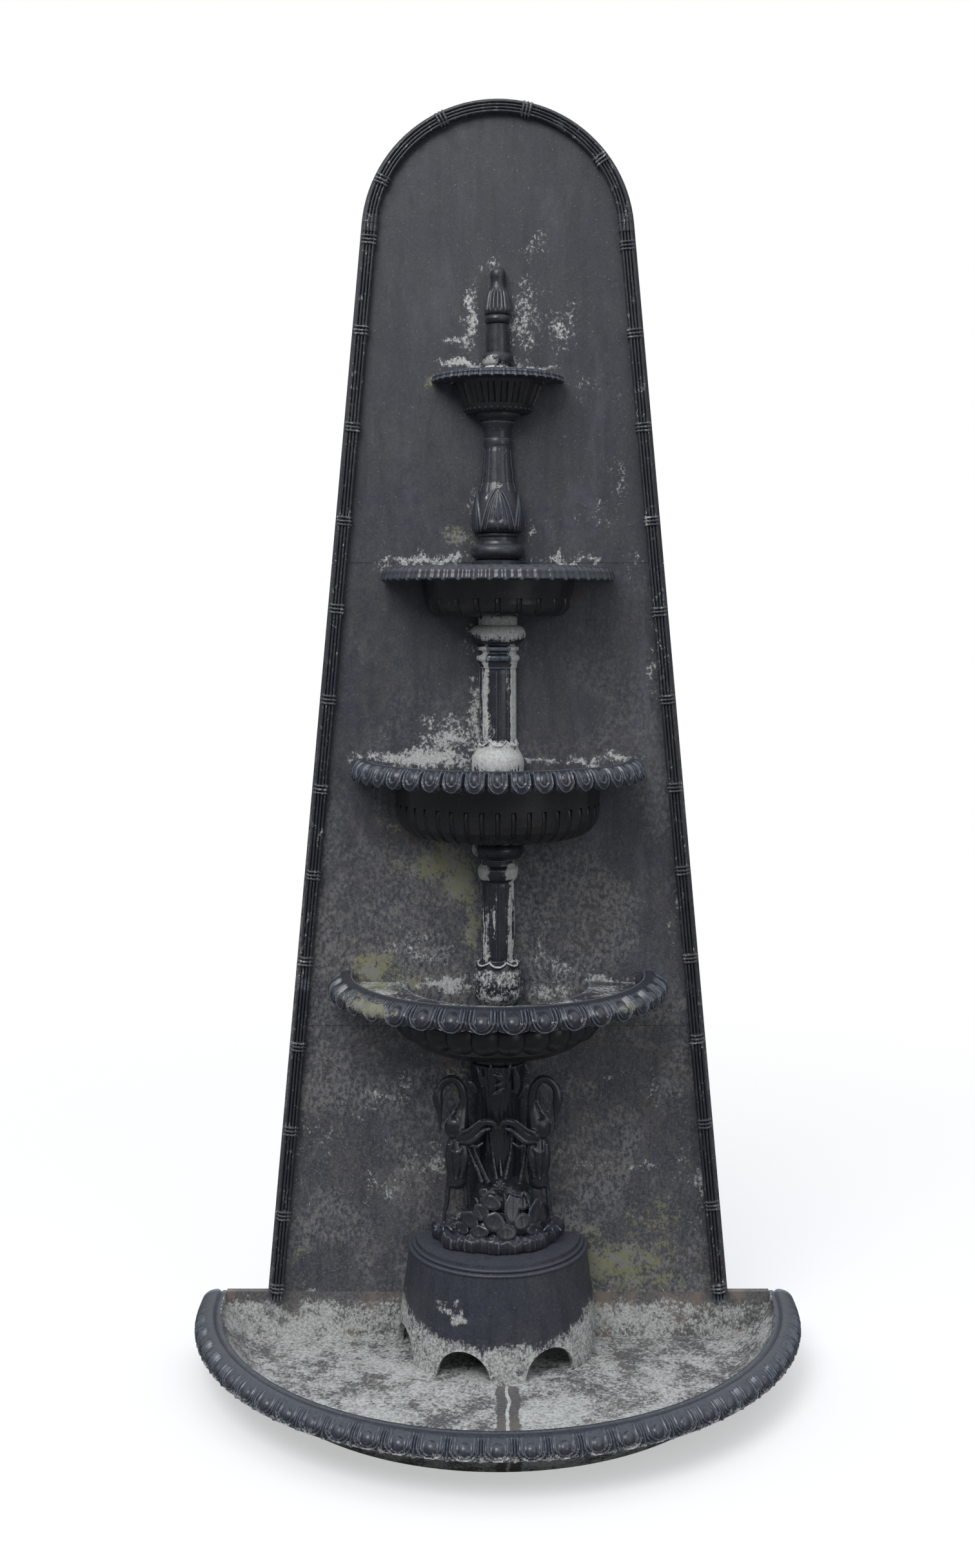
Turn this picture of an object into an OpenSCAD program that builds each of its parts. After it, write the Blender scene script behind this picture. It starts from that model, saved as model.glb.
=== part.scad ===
// Flat back garden fountain: an arched back panel with a reeded border, a half round pool,
// a heron pedestal and four half basins stacked on a riser pipe.
// Modelled in front of the plane y = 0, the face of the panel, then moved as a whole.

/* [Back panel] */
// Height of the fountain over the arch of its panel
overall_h = 2066; // [1980:2:2160]
// Radius of the arched top
arch_r = 227; // [200:1:250]
// Width of the panel where it stands on the pool wall
panel_foot_w = 762; // [720:2:820]
// Thickness of the cast panel
panel_t = 12; // [10:1:18]
// Depth of the flange round the back of the panel
flange_d = 18; // [12:1:30]
// Thickness of that flange
flange_t = 8; // [5:1:12]
// Level of the joint between the upper and middle sections
joint_upper_z = 1296; // [1240:2:1360]
// Level of the joint between the middle and lower sections
joint_lower_z = 529; // [430:2:680]
// Gap left in the joints between castings
joint_gap = 0.6; // [0.3:0.1:2]

/* [Border] */
// Plain margin outside the border
margin_w = 5; // [2:1:10]
// Width of the reeded bar
border_w = 21; // [16:1:26]
// Number of reeds across the bar
reed_count = 4; // [3:1:5]
// How far the bar stands proud of the panel
border_h = 16; // [12:1:20]
// Number of ribbon bindings along each side
side_bindings = 13; // [8:1:16]
// Number of ribbon bindings on the arch
arch_bindings = 4; // [2:1:6]
// Length of a binding along the bar
binding_l = 17; // [12:1:24]
// How far a binding swells past the bar
binding_swell = 2.4; // [0.6:0.2:3]
// How far the strips reach down past the pool's rim
border_tuck = 10; // [0:1:20]
// Level of the joint in the left strip
joint_left_z = 601; // [560:1:640]
// Level of the joint in the right strip
joint_right_z = 513; // [470:1:550]

/* [Pool] */
// Radius over the pool's rim
pool_r = 498; // [480:2:530]
// Height of the pool's rim
pool_h = 88; // [80:1:100]
// How far the pool's wall leans out between its base and its lip
pool_flare = 64; // [40:1:90]
// Width of the pool's rim
pool_rim_w = 48; // [40:1:56]
// Thickness of the pool's floor
pool_floor_t = 15; // [10:1:20]
// Height of the pool's rim casting at its outer edge
pool_rim_h = 29; // [24:1:36]
// Number of eggs round the pool's rim
pool_eggs = 33; // [24:1:40]

/* [Plinth] */
// Radius of the drum at its feet
drum_foot_r = 165; // [155:1:175]
// Radius of the drum under its cap
drum_top_r = 146; // [138:1:152]
// Height of the drum over the pool's floor
drum_h = 157; // [140:1:180]
// Wall of the drum
drum_wall = 9; // [7:1:12]
// Radius of the arches between the feet
arch_opening_r = 45; // [36:1:50]
// Angle from one arch to the next
arch_pitch = 51.2; // [48:0.2:54]
// Angle of the first arch from the front, to the left
arch_first = 71; // [66:1:74]
// Thickness of the stepped cap
cap_t = 16; // [12:1:24]

/* [Basins] */
// Level of the rim of the lowest basin
basin_4_z = 622; // [600:2:640]
// Radius over the rim of the lowest basin
basin_4_r = 281; // [270:1:292]
// Depth of the bowl of the lowest basin under its rim
basin_4_d = 105; // [95:1:115]
// Level of the rim of the third basin
basin_3_z = 974; // [950:2:990]
// Radius over the rim of the third basin
basin_3_r = 244; // [232:1:256]
// Depth of the bowl of the third basin under its rim
basin_3_d = 106; // [96:1:116]
// Level of the rim of the second basin
basin_2_z = 1290; // [1270:2:1310]
// Radius over the rim of the second basin
basin_2_r = 196; // [186:1:206]
// Depth of the bowl of the second basin under its rim
basin_2_d = 60; // [54:1:66]
// Level of the rim of the top basin
basin_1_z = 1606; // [1590:2:1622]
// Radius over the rim of the top basin
basin_1_r = 113; // [104:1:122]
// Depth of the bowl of the top basin under its rim
basin_1_d = 52; // [46:1:58]
// Height of the rims of the two lower basins
low_rim_h = 26; // [22:1:30]
// Height of the rim of the second basin
basin_2_rim_h = 22; // [18:1:26]
// Height of the rim of the top basin
basin_1_rim_h = 13; // [11:1:18]
// Wall of the bowls
bowl_wall = 8; // [6:1:10]

/* [Columns] */
// Radius of the fluted shaft of the lowest column
shaft_3_r = 27; // [24:0.5:30]
// Radius of the shaft of the second column
shaft_2_r = 29.5; // [26:0.5:32]
// Radius of the shaft of the top column at its foot
shaft_1_r = 27; // [24:0.5:29]
// Radius of the ring collars under the basins
collar_r = 46; // [42:0.5:52]
// Height of the ring of a collar
collar_h = 31; // [26:1:36]
// Height of the collar of the lowest column
collar_3_h = 31; // [26:1:36]
// Number of flutes on a half round shaft
flute_count = 7; // [5:1:9]
// Radius of the finial's stem
finial_r = 19.5; // [17:0.5:22]
// Height of the finial over the rim of the top basin
finial_h = 178; // [160:2:190]

/* [Pedestal] */
// Radius of the rocky base
rock_r = 112; // [104:1:120]
// Height of the rocky base
rock_h = 33; // [28:1:40]
// Radius of the bundle of bulrushes at its top
reed_top_r = 52; // [48:1:56]
// Number of bulrush stems across the half round bundle
reed_stems = 11; // [8:1:13]
// Height of the herons over the rocky base
heron_h = 232; // [215:1:250]

/* [Water pipe] */
// Outer radius of the riser pipe
pipe_r = 6; // [5:0.5:7]
// Inner radius of the riser pipe
pipe_bore_r = 4.5; // [3.5:0.5:5]
// Clearance round the pipe in the castings
pipe_clear = 0.4; // [0.2:0.1:1]
// Distance from the panel's face to the pipe's axis
axis_out = 11; // [10:0.5:14]
// Radius of the hose tail
hose_r = 6.5; // [6:0.5:9]
// Length of the hose tail that a hose pushes on to
hose_l = 25; // [20:1:35]

/* [Fixings] */
// Radius of the bolts
bolt_r = 4; // [3:0.5:5]
// Depth that the bolts reach into the castings
bolt_reach = 14; // [10:1:16]
// Distance from the pipe's axis to the bolts in the collars
bolt_out = 26; // [22:1:29]
// Height of a joint strap
strap_h = 64; // [50:2:80]
// Thickness of a joint strap
strap_t = 5; // [4:1:8]

/* [Hidden] */

// Colours of the castings, as they show in the photo
iron = [0.23, 0.24, 0.27];
iron_light = [0.3, 0.32, 0.36];
lime = [0.72, 0.72, 0.7];
hardware = [0.55, 0.5, 0.42];

pool_mouth_r = pool_r - pool_rim_w;
pool_lip_w = 12;
pool_lip_r = pool_mouth_r + pool_lip_w;
pool_base_r = pool_lip_r - pool_flare;

// Depth of the whole fountain, and the shift that centres it over the origin
panel_back_y = panel_t + flange_d;
overall_d = pool_r + axis_out + panel_back_y;
wall_y = overall_d / 2 - panel_back_y;

// Levels of the stack, from the pool's floor up
drum_foot_z = pool_floor_t;
drum_top_z = drum_foot_z + drum_h;
cap_z = drum_top_z;
cap_top_z = cap_z + cap_t;
rock_top_z = cap_top_z + rock_h;
basin_4_seat_z = basin_4_z - low_rim_h;
basin_3_seat_z = basin_3_z - low_rim_h;
basin_2_seat_z = basin_2_z - basin_2_rim_h;
basin_1_seat_z = basin_1_z - basin_1_rim_h;
basin_4_foot_z = basin_4_seat_z - basin_4_d;
basin_3_foot_z = basin_3_seat_z - basin_3_d;
basin_2_foot_z = basin_2_seat_z - basin_2_d;
basin_1_foot_z = basin_1_seat_z - basin_1_d;
reed_top_z = basin_4_foot_z;
// Boss in each bowl that the column above stands on
hub_h = 6;
hub_r = 44;
hub_rise = bowl_wall + hub_h;
column_3_foot_z = basin_4_foot_z + hub_rise;
column_2_foot_z = basin_3_foot_z + hub_rise;
column_1_foot_z = basin_2_foot_z + hub_rise;
finial_foot_z = basin_1_foot_z + hub_rise;
collar_3_neck = 3;
collar_2_neck = 15;
collar_3_z = basin_3_foot_z - collar_3_neck - collar_3_h;
collar_2_z = basin_2_foot_z - collar_2_neck - collar_h;
ring_1_z = basin_2_z + 11;
bulb_1_z = ring_1_z + 44;
bud_h = 79;
bud_z = basin_1_z + finial_h - bud_h;

// Radii of the bowls at their lips
lip_4_r = basin_4_r - 121;
lip_3_r = basin_3_r - 74;
lip_2_r = basin_2_r - 70;
lip_1_r = basin_1_r - 39;

// Levels of the bolts that hold the stack against the panel
rock_bolt_z = cap_top_z + rock_h / 2;
collar_3_bolt_z = collar_3_z + collar_3_h / 2;
collar_2_bolt_z = collar_2_z + collar_h / 2;
bulb_bolt_z = bulb_1_z + 26;
bolt_levels = [rock_bolt_z, collar_3_bolt_z, collar_2_bolt_z, bulb_bolt_z];

// A length past every surface that a cut has to clear
past = 1;
// A length larger than the whole fountain
huge = 3000;

// Round stretches are drawn with this many steps to a quarter turn
arc_steps = 12;

function flat_list(lists) = [for (l = lists) for (v = l) v];

// Points of a cubic curve from p0 to p3, steered by p1 and p2
function curve(p0, p1, p2, p3, steps) = [
    for (i = [0:steps])
        let (t = i / steps, s = 1 - t)
        s * s * s * p0 + 3 * s * s * t * p1 + 3 * s * t * t * p2 + t * t * t * p3
];

// Points of an arc about c
function arc(c, r, from, to, steps) = [
    for (i = [0:steps])
        let (a = from + (to - from) * i / steps)
        c + r * [cos(a), sin(a)]
];

// The half round bulge of a ring moulding between two levels
function bulge(r, z0, z1, depth) = [
    for (a = [-90:15:90])
        [r - depth + depth * cos(a), (z0 + z1) / 2 + (z1 - z0) / 2 * sin(a)]
];

// A closed skin over a list of rings with the same number of points
module skin(rings, reverse = false) {
    n = len(rings[0]);
    last = len(rings) - 1;
    sides = [
        for (j = [0:last - 1]) for (i = [0:n - 1])
            let (k = (i + 1) % n)
            each [
                [j * n + i, (j + 1) * n + i, (j + 1) * n + k],
                [j * n + i, (j + 1) * n + k, j * n + k]
            ]
    ];
    foot = [for (i = [1:n - 2]) [0, i, i + 1]];
    head = [for (i = [1:n - 2]) [last * n, last * n + i + 1, last * n + i]];
    faces = concat(sides, foot, head);
    turned = [for (f = faces) [f[0], f[2], f[1]]];
    polyhedron(points = flat_list(rings), faces = reverse ? turned : faces, convexity = 8);
}

// Moves a piece from the panel's face to its place in the fountain's frame
module placed() {
    translate([0, wall_y, 0]) children();
}

// Keeps what lies in front of the plane y = limit
module in_front(limit = 0) {
    intersection() {
        children();
        translate([-huge, limit - huge, -huge]) cube([2 * huge, huge, 2 * huge]);
    }
}

// Sets copies round the front half of the z axis, each drawn on the x axis
module round_front(count) {
    for (i = [0:count - 1]) rotate([0, 0, (i + 0.5) * 180 / count - 180]) children();
}

// Moves what is drawn round the z axis to the pipe's axis and cuts it off at the panel
module half_turned(limit = 0) {
    in_front(limit) translate([0, -axis_out, 0]) children();
}

module pipe_bore(low, high, r = pipe_r + pipe_clear) {
    translate([0, 0, low - past]) cylinder(r = r, h = high - low + 2 * past, $fn = 32);
}

function lowest(outline) = min([for (p = outline) p[1]]);
function highest(outline) = max([for (p = outline) p[1]]);

// A solid of revolution from an outline of radius and level
module revolved(outline) {
    rotate_extrude($fn = 96)
        polygon(concat([[0, lowest(outline)]], outline, [[0, highest(outline)]]));
}

// A half turned casting, bored for the pipe
module turned(outline) {
    half_turned() difference() {
        revolved(outline);
        pipe_bore(lowest(outline), highest(outline));
    }
}

// Back panel

panel_foot_x = panel_foot_w / 2;
arch_z = overall_h - arch_r;
foot_drop = arch_z - pool_h;
foot_reach = norm([panel_foot_x, foot_drop]);
// Angle by which the sides of the panel lean in, where they meet the arch
lean = acos(arch_r / foot_reach) - atan2(foot_drop, panel_foot_x);
arch_foot_z = arch_z + arch_r * sin(lean);

// Half width of the panel at a level, less an inset square to its side
function side_x(z, inset) = (arch_r - inset - (z - arch_z) * sin(lean)) / cos(lean);

// Outline of the panel down to a level, drawn inwards by an inset
function panel_outline(inset, foot_z) = concat(
    [[side_x(foot_z, inset), foot_z]],
    arc([0, arch_z], arch_r - inset, lean, 180 - lean, 4 * arc_steps),
    [[-side_x(foot_z, inset), foot_z]]
);

// Stands a flat outline up, its front at y = front and its back further in
module standing(front, depth) {
    translate([0, front + depth, 0]) rotate([90, 0, 0]) linear_extrude(depth) children();
}

module level_band(z0, z1) {
    translate([-huge / 2, z0]) square([huge, z1 - z0]);
}

module panel_section(z0, z1) {
    placed() difference() {
        union() {
            standing(0, panel_t) intersection() {
                polygon(panel_outline(0, pool_h));
                level_band(z0, z1);
            }
            standing(panel_t - past, flange_d + past) intersection() {
                difference() {
                    polygon(panel_outline(0, pool_h));
                    polygon(panel_outline(flange_t, pool_h - past));
                }
                level_band(z0, z1);
            }
        }
        collar_bolt_holes();
        strap_stud_holes();
    }
}

module back_panel_upper() {
    color(iron) panel_section(joint_upper_z + joint_gap / 2, overall_h);
}

module back_panel_middle() {
    color(iron) panel_section(joint_lower_z + joint_gap / 2, joint_upper_z - joint_gap / 2);
}

module back_panel_lower() {
    color(iron) panel_section(pool_h, joint_lower_z - joint_gap / 2);
}

// Border

reed_pitch = border_w / reed_count;
reed_r = reed_pitch * 0.6;
border_mid_r = arch_r - margin_w - border_w / 2;
rib_l = binding_l / 4;
rib_step = (binding_l - rib_l) / 2;
border_foot_z = pool_h - border_tuck;
// Distance along the side from the arch to a level
function down_side(z) = (arch_foot_z - z) / cos(lean);
side_l = down_side(border_foot_z);
binding_margin = binding_l / 2 + border_tuck / 2;
side_binding_step = (side_l - binding_margin - binding_l) / (side_bindings - 1);
arch_binding_step = (180 - 2 * lean) / arch_bindings;

// Cross section of the bar, width along x and height along y
module reeded_section() {
    slab_h = border_h - reed_r;
    translate([-border_w / 2, 0]) square([border_w, slab_h]);
    for (i = [0:reed_count - 1])
        translate([(i + 0.5) * reed_pitch - border_w / 2, slab_h]) circle(r = reed_r, $fn = 24);
}

// Cross section of one rib of a ribbon binding
module rib_section() {
    rib_w = border_w + 2 * binding_swell;
    rib_h = border_h + binding_swell;
    crown_r = border_w * 0.75;
    intersection() {
        translate([-rib_w / 2, 0]) square([rib_w, rib_h]);
        translate([0, rib_h - crown_r]) circle(r = crown_r, $fn = 64);
    }
}

// Lays a section that was extruded upwards along the side of the panel, its top at the arch
module along_side() {
    translate([0, 0, arch_z]) rotate([0, -lean, 0]) translate([border_mid_r, 0, 0])
        rotate([0, 0, 180]) children();
}

// One side strip between two distances from the arch, drawn on the right
module side_strip(from, to) {
    placed() along_side() {
        translate([0, 0, -to]) linear_extrude(to - from) reeded_section();
        for (i = [0:side_bindings - 1])
            for (j = [-1:1])
                let (at = binding_l + i * side_binding_step + j * rib_step)
                if (at - rib_l > from && at + rib_l < to)
                    translate([0, 0, -at - rib_l / 2]) linear_extrude(rib_l) rib_section();
    }
}

module border_arch() {
    rib_angle = rib_l / border_mid_r * 180 / PI;
    step_angle = rib_step / border_mid_r * 180 / PI;
    gap_angle = joint_gap / border_mid_r * 180 / PI;
    color(iron) placed() translate([0, 0, arch_z]) rotate([90, 0, 0]) {
        rotate([0, 0, lean + gap_angle])
            rotate_extrude(angle = 180 - 2 * lean - 2 * gap_angle, $fn = 180)
            translate([border_mid_r, 0]) reeded_section();
        for (i = [0:arch_bindings - 1]) for (j = [-1:1])
            rotate([0, 0, lean + (i + 0.5) * arch_binding_step + j * step_angle - rib_angle / 2])
                rotate_extrude(angle = rib_angle, $fn = 180)
                translate([border_mid_r, 0]) rib_section();
    }
}

module border_left_upper() {
    color(iron) mirror([1, 0, 0]) side_strip(0, down_side(joint_left_z + joint_gap / 2));
}

module border_left_lower() {
    color(iron) mirror([1, 0, 0]) side_strip(down_side(joint_left_z - joint_gap / 2), side_l);
}

module border_right_upper() {
    color(iron) side_strip(0, down_side(joint_right_z + joint_gap / 2));
}

module border_right_lower() {
    color(iron) side_strip(down_side(joint_right_z - joint_gap / 2), side_l);
}

// Joint straps behind the panel

strap_gap = 2;
stud_rows = [-0.3, 0.3];
stud_spots = [-0.78, -0.3, 0.3, 0.78];
stud_reach = panel_t * 0.6;
nut_h = 6.5;
nut_r = bolt_r * 1.9;
washer_t = 1.6;

function strap_x(z) = side_x(z + strap_h / 2, flange_t) - strap_gap;

module each_stud(z) {
    for (u = stud_spots) for (v = stud_rows)
        translate([u * strap_x(z), 0, z + v * strap_h]) rotate([-90, 0, 0]) children();
}

module strap(z) {
    color(hardware) placed() difference() {
        translate([-strap_x(z), panel_t, z - strap_h / 2]) cube([2 * strap_x(z), strap_t, strap_h]);
        each_stud(z) cylinder(r = bolt_r + pipe_clear, h = panel_t + strap_t + past, $fn = 24);
    }
}

module strap_stud_holes() {
    for (z = [joint_upper_z, joint_lower_z, pool_h])
        each_stud(z) translate([0, 0, panel_t - stud_reach])
            cylinder(r = bolt_r, h = stud_reach + past, $fn = 24);
}

module joint_strap_upper() { strap(joint_upper_z); }

module joint_strap_lower() { strap(joint_lower_z); }

module pool_strap() { strap(pool_h); }

// Studs cast into the panel, each with its washer and nut on the strap
module strap_bolts() {
    color(hardware) placed()
        for (z = [joint_upper_z, joint_lower_z, pool_h])
            each_stud(z) {
                translate([0, 0, panel_t - stud_reach])
                    cylinder(r = bolt_r, h = stud_reach + strap_t + washer_t + nut_h, $fn = 24);
                translate([0, 0, panel_t + strap_t])
                    cylinder(r = nut_r + 1.5, h = washer_t, $fn = 24);
                translate([0, 0, panel_t + strap_t + washer_t])
                    cylinder(r = nut_r, h = nut_h - 1.5, $fn = 6);
            }
}

// Rims

// Relief across one egg and its dart, as places in the repeat and heights there
egg_places = [0, 0.17, 0.31, 0.5, 0.69, 0.83];
egg_relief = [0.45, -0.35, 0.5, 1, 0.5, -0.35];
// The same for the small rims, which have eggs and no darts
small_places = [0, 0.24, 0.5, 0.76];
small_relief = [-0.35, 0.55, 1, 0.55];

// Section of a rim, from the seat on the bowl's lip over the raised inner edge and down a
// quarter round to the scalloped lower edge
function rim_section(in_r, seat_z, top_r, top_z, out_r, low_z, seat_r, under_r, amp, relief) =
    let (
        w = out_r - top_r - amp,
        h = top_z - low_z,
        e = amp * relief
    )
    [
        [seat_r, seat_z],
        [in_r, seat_z],
        [in_r, seat_z + (top_z - seat_z) * 0.5],
        [top_r, top_z],
        [top_r + w * 0.45 + e * 0.2, top_z - h * 0.09 + e * 0.3],
        [top_r + w * 0.82 + e * 0.6, top_z - h * 0.38 + e * 0.4],
        [top_r + w + e, top_z - h * 0.8],
        [top_r + w * 0.86 + e * 0.5, low_z],
        [under_r, low_z]
    ];

// Half ring of such sections round the axis, with straight ends back to y = back
module egg_rim(section, eggs, places, relief, back) {
    step = 180 / eggs;
    spots = [for (k = [0:eggs - 1]) for (i = [0:len(places) - 1]) [-90 + (k + places[i]) * step, relief[i]]];
    end = relief[0];
    rings = concat(
        [stood(section(end), -90, back)],
        [for (s = spots) stood(section(s[1]), s[0], -axis_out)],
        [stood(section(end), 90, -axis_out), stood(section(end), 90, back)]
    );
    placed() skin(rings, true);
}

// Stands an outline of radius and level up at an angle from the front, its axis at y
function stood(outline, a, y) = [for (p = outline) [p[0] * sin(a), y - p[0] * cos(a), p[1]]];

// Pool

pool_lip_z = pool_h - 14;
pool_lip_drop = 10;
// Round corner between the pool's floor and its wall
pool_corner = 22;
rim_clear = 0.4;

function pool_outline() = [
    [pool_base_r, 0], [pool_lip_r, pool_lip_z - pool_lip_drop], [pool_lip_r, pool_lip_z]
];

function pool_hollow() = concat(
    curve(
        [pool_base_r - pool_corner, pool_floor_t], [pool_base_r - pool_corner * 0.2, pool_floor_t],
        [pool_base_r + pool_corner * 0.4, pool_floor_t + pool_corner * 0.3],
        [pool_base_r + pool_corner, pool_floor_t + pool_corner], 6
    ),
    [[pool_mouth_r, pool_lip_z], [pool_mouth_r, pool_h + past]]
);

module pool_bowl() {
    color(iron_light) placed() difference() {
        union() {
            difference() {
                half_turned(panel_t) revolved(pool_outline());
                half_turned() revolved(pool_hollow());
            }
            translate([-pool_mouth_r, 0, pool_lip_z - past])
                cube([2 * pool_mouth_r, panel_t, pool_h - pool_lip_z + past]);
        }
        strap_stud_holes();
    }
}

function pool_rim_section(relief) = rim_section(
    pool_mouth_r, pool_lip_z, pool_mouth_r + 9, pool_h, pool_r, pool_h - pool_rim_h,
    pool_lip_r + rim_clear, pool_lip_r + rim_clear, 3, relief
);

module pool_rim() {
    color(iron_light) egg_rim(
        function (e) pool_rim_section(e), pool_eggs, egg_places, egg_relief, panel_t
    );
}

// Plinth

drum_mid_z = drum_foot_z + 45;
drum_mid_r = drum_foot_r - 4;
arch_count = 4;

function drum_outline(inset, low, high) = [
    [drum_foot_r - inset, low], [drum_mid_r - inset, drum_mid_z], [drum_top_r - inset, high]
];

module plinth_drum() {
    color(iron) placed() half_turned() difference() {
        revolved(drum_outline(0, drum_foot_z, drum_top_z));
        revolved(drum_outline(drum_wall, drum_foot_z - past, drum_top_z + past));
        for (i = [0:arch_count - 1])
            rotate([0, 0, i * arch_pitch - arch_first])
                translate([0, -drum_top_r / 2, drum_foot_z]) rotate([90, 0, 0])
                rotate([0, 0, -90]) cylinder(r = arch_opening_r, h = drum_foot_r, $fn = 64);
    }
}

spigot_h = 7;

module plinth_cap() {
    step = cap_t / 3;
    spigot_r = drum_top_r - drum_wall - 1.5;
    color(iron_light) placed() turned(concat(
        [[spigot_r, cap_z - spigot_h], [spigot_r, cap_z]],
        bulge(drum_top_r + 2, cap_z, cap_z + step, 2.5),
        bulge(drum_top_r - 4, cap_z + step, cap_z + 2 * step, 2),
        [[drum_top_r - 10, cap_z + 2 * step], [drum_top_r - 11, cap_top_z]]
    ));
}

// Pedestal

// Half width of the channel that the rock leaves for the pipe, open to the panel
rock_channel = 14;
reed_foot_r = reed_top_r * 1.06;
reed_waist_r = reed_top_r * 0.74;

// Unevenness of the rock at an angle, a sum of waves
function ragged(a) = 0.5 * sin(5 * a + 20) + 0.35 * sin(11 * a) + 0.3 * sin(23 * a + 70);

module rock_base() {
    function ledge(a, share, rise, rough) = [
        rock_r * share * (1 + rough * 0.06 * ragged(a)),
        cap_top_z + rock_h * (rise + rough * 0.09 * ragged(a * 1.7 + 40))
    ];
    function outline(a) = [
        [rock_channel, cap_top_z], [rock_r * 0.95, cap_top_z], ledge(a, 1, 0.2, 0.8),
        ledge(a, 0.98, 0.45, 1), ledge(a, 0.9, 0.7, 1.2), [rock_r * 0.8, rock_top_z],
        [rock_channel, rock_top_z]
    ];
    rings = concat(
        [stood(outline(-90), -90, 0)],
        [for (a = [-90:7.5:90]) stood(outline(a), a, -axis_out)],
        [stood(outline(90), 90, 0)]
    );
    color(iron) placed() difference() {
        skin(rings, true);
        bolt_holes_at(rock_bolt_z, -bolt_reach - past, past);
    }
}

module bulrush_stem() {
    h = reed_top_z - rock_top_z;
    waist_z = rock_top_z + h * 0.4;
    crown_z = reed_top_z - h * 0.15;
    groove_r = PI * reed_waist_r / reed_stems * 0.3;
    spread = atan2(reed_top_r - reed_waist_r, crown_z - waist_z);
    color(iron) placed() half_turned() difference() {
        revolved(concat(
            curve([reed_foot_r, rock_top_z], [reed_waist_r, rock_top_z + h * 0.06],
                [reed_waist_r, waist_z - h * 0.12], [reed_waist_r, waist_z], 6),
            [[reed_top_r, crown_z], [reed_top_r, reed_top_z]]
        ));
        pipe_bore(rock_top_z, reed_top_z);
        round_front(reed_stems) translate([reed_waist_r + groove_r * 0.35, 0, waist_z]) rotate([0, spread, 0])
            translate([0, 0, -h * 0.12]) cylinder(r = groove_r, h = h * 0.6, $fn = 16);
    }
}

// Herons

heron_y = -axis_out - 34;
wing_y = -axis_out - reed_top_r - 2;

// Rings of a limb along points in an upright plane, each point [x, z, radius]
function limb(points, y, sides, flat) = [
    for (i = [0:len(points) - 1])
        let (
            before = points[max(i - 1, 0)],
            after = points[min(i + 1, len(points) - 1)],
            run = [after[0] - before[0], after[1] - before[1]] / norm([after[0] - before[0], after[1] - before[1]]),
            at = points[i]
        )
        [
            for (k = [0:sides - 1])
                let (c = at[2] * cos(k * 360 / sides), s = at[2] * flat * sin(k * 360 / sides))
                [at[0] + c * run[1], y + s, at[1] - c * run[0]]
        ]
];

// Body, neck and beak of a heron, from the tail up, round the loop and down to the tip
heron_body = [
    [72, 34, 2], [73, 46, 8], [73, 62, 13], [72, 82, 17], [70, 104, 18.5], [69, 124, 17.5],
    [67, 141, 14], [62, 156, 9.5], [58, 170, 7.2], [56, 186, 6], [59, 202, 5.6], [68, 213, 5.4],
    [79, 214.5, 5.3], [89, 208, 5.2], [94, 197, 5.6], [96, 188, 7.4], [97, 179, 6.6], [97.5, 170, 3.8],
    [97.5, 148, 2.4], [97, 118, 0.8]
];
heron_legs = [67, 81];
heron_leg_r = 3.6;
// Places along a wing from the shoulder to the middle, as x, top and foot over the rock
heron_wing = [[66, 134, 92], [54, 142, 112], [41, 149, 126], [28, 155, 134], [16, 155, 138], [4, 148, 136]];
wing_half_t = 4.5;

module heron() {
    scale_up = heron_h / 220;
    leg_h = 62;
    placed() translate([0, 0, rock_top_z]) scale(scale_up) union() {
        skin(limb(heron_body, heron_y, 10, 0.9));
        for (x = heron_legs) translate([x, heron_y, 0]) {
            cylinder(r = heron_leg_r, h = leg_h, $fn = 16);
            cylinder(r = heron_leg_r * 2, h = 4, $fn = 24);
        }
        skin([
            for (w = heron_wing)
                let (y = wing_y + (heron_y - 4 - wing_y) * pow(w[0] / heron_wing[0][0], 2), t = wing_half_t)
                [
                    [w[0], y - t, w[1] - t], [w[0], y, w[1]], [w[0], y + t, w[1] - t],
                    [w[0], y + t, w[2] + t], [w[0], y, w[2]], [w[0], y - t, w[2] + t]
                ]
        ]);
    }
}

module heron_left() { color(iron_light) mirror([1, 0, 0]) heron(); }

module heron_right() { color(iron_light) heron(); }

// Water lily

lily_spread = 38;
lily_in_r = reed_foot_r + 2;
lily_h = 62;
lily_foot_w = 24;
lily_head_w = 10;
lily_lean = atan2(lily_foot_w - lily_head_w, lily_h);
// Share of a leaf's width along it, from its round end to its tip
leaf_shares = [0.3, 0.8, 1, 0.95, 0.72, 0.4, 0.06];
leaf_crown = 4;
leaf_root = 5;
// Leaves as angle from the front, rise over the rock, length, width and turn
lily_leaves = [
    [-33, 24, 40, 19, 38], [-14, 27, 44, 21, 68], [-16, 48, 34, 17, -62], [4, 42, 44, 19, -8],
    [19, 47, 28, 19, 24], [26, 26, 38, 18, -6], [39, 24, 36, 16, 10]
];
flower_z = 64;
flower_r = 9;

// A leaf on its edge, its crown to the front and its root sunk in the bed
module lily_leaf(long, wide) {
    last = len(leaf_shares) - 1;
    skin([
        for (i = [0:last])
            let (w = wide / 2 * leaf_shares[i], at = long * (i / last - 0.5), h = leaf_crown * leaf_shares[i])
            [
                [-w, leaf_root, at], [-w * 0.85, -h * 0.3, at], [0, -h, at],
                [w * 0.85, -h * 0.3, at], [w, leaf_root, at]
            ]
    ]);
}

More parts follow.
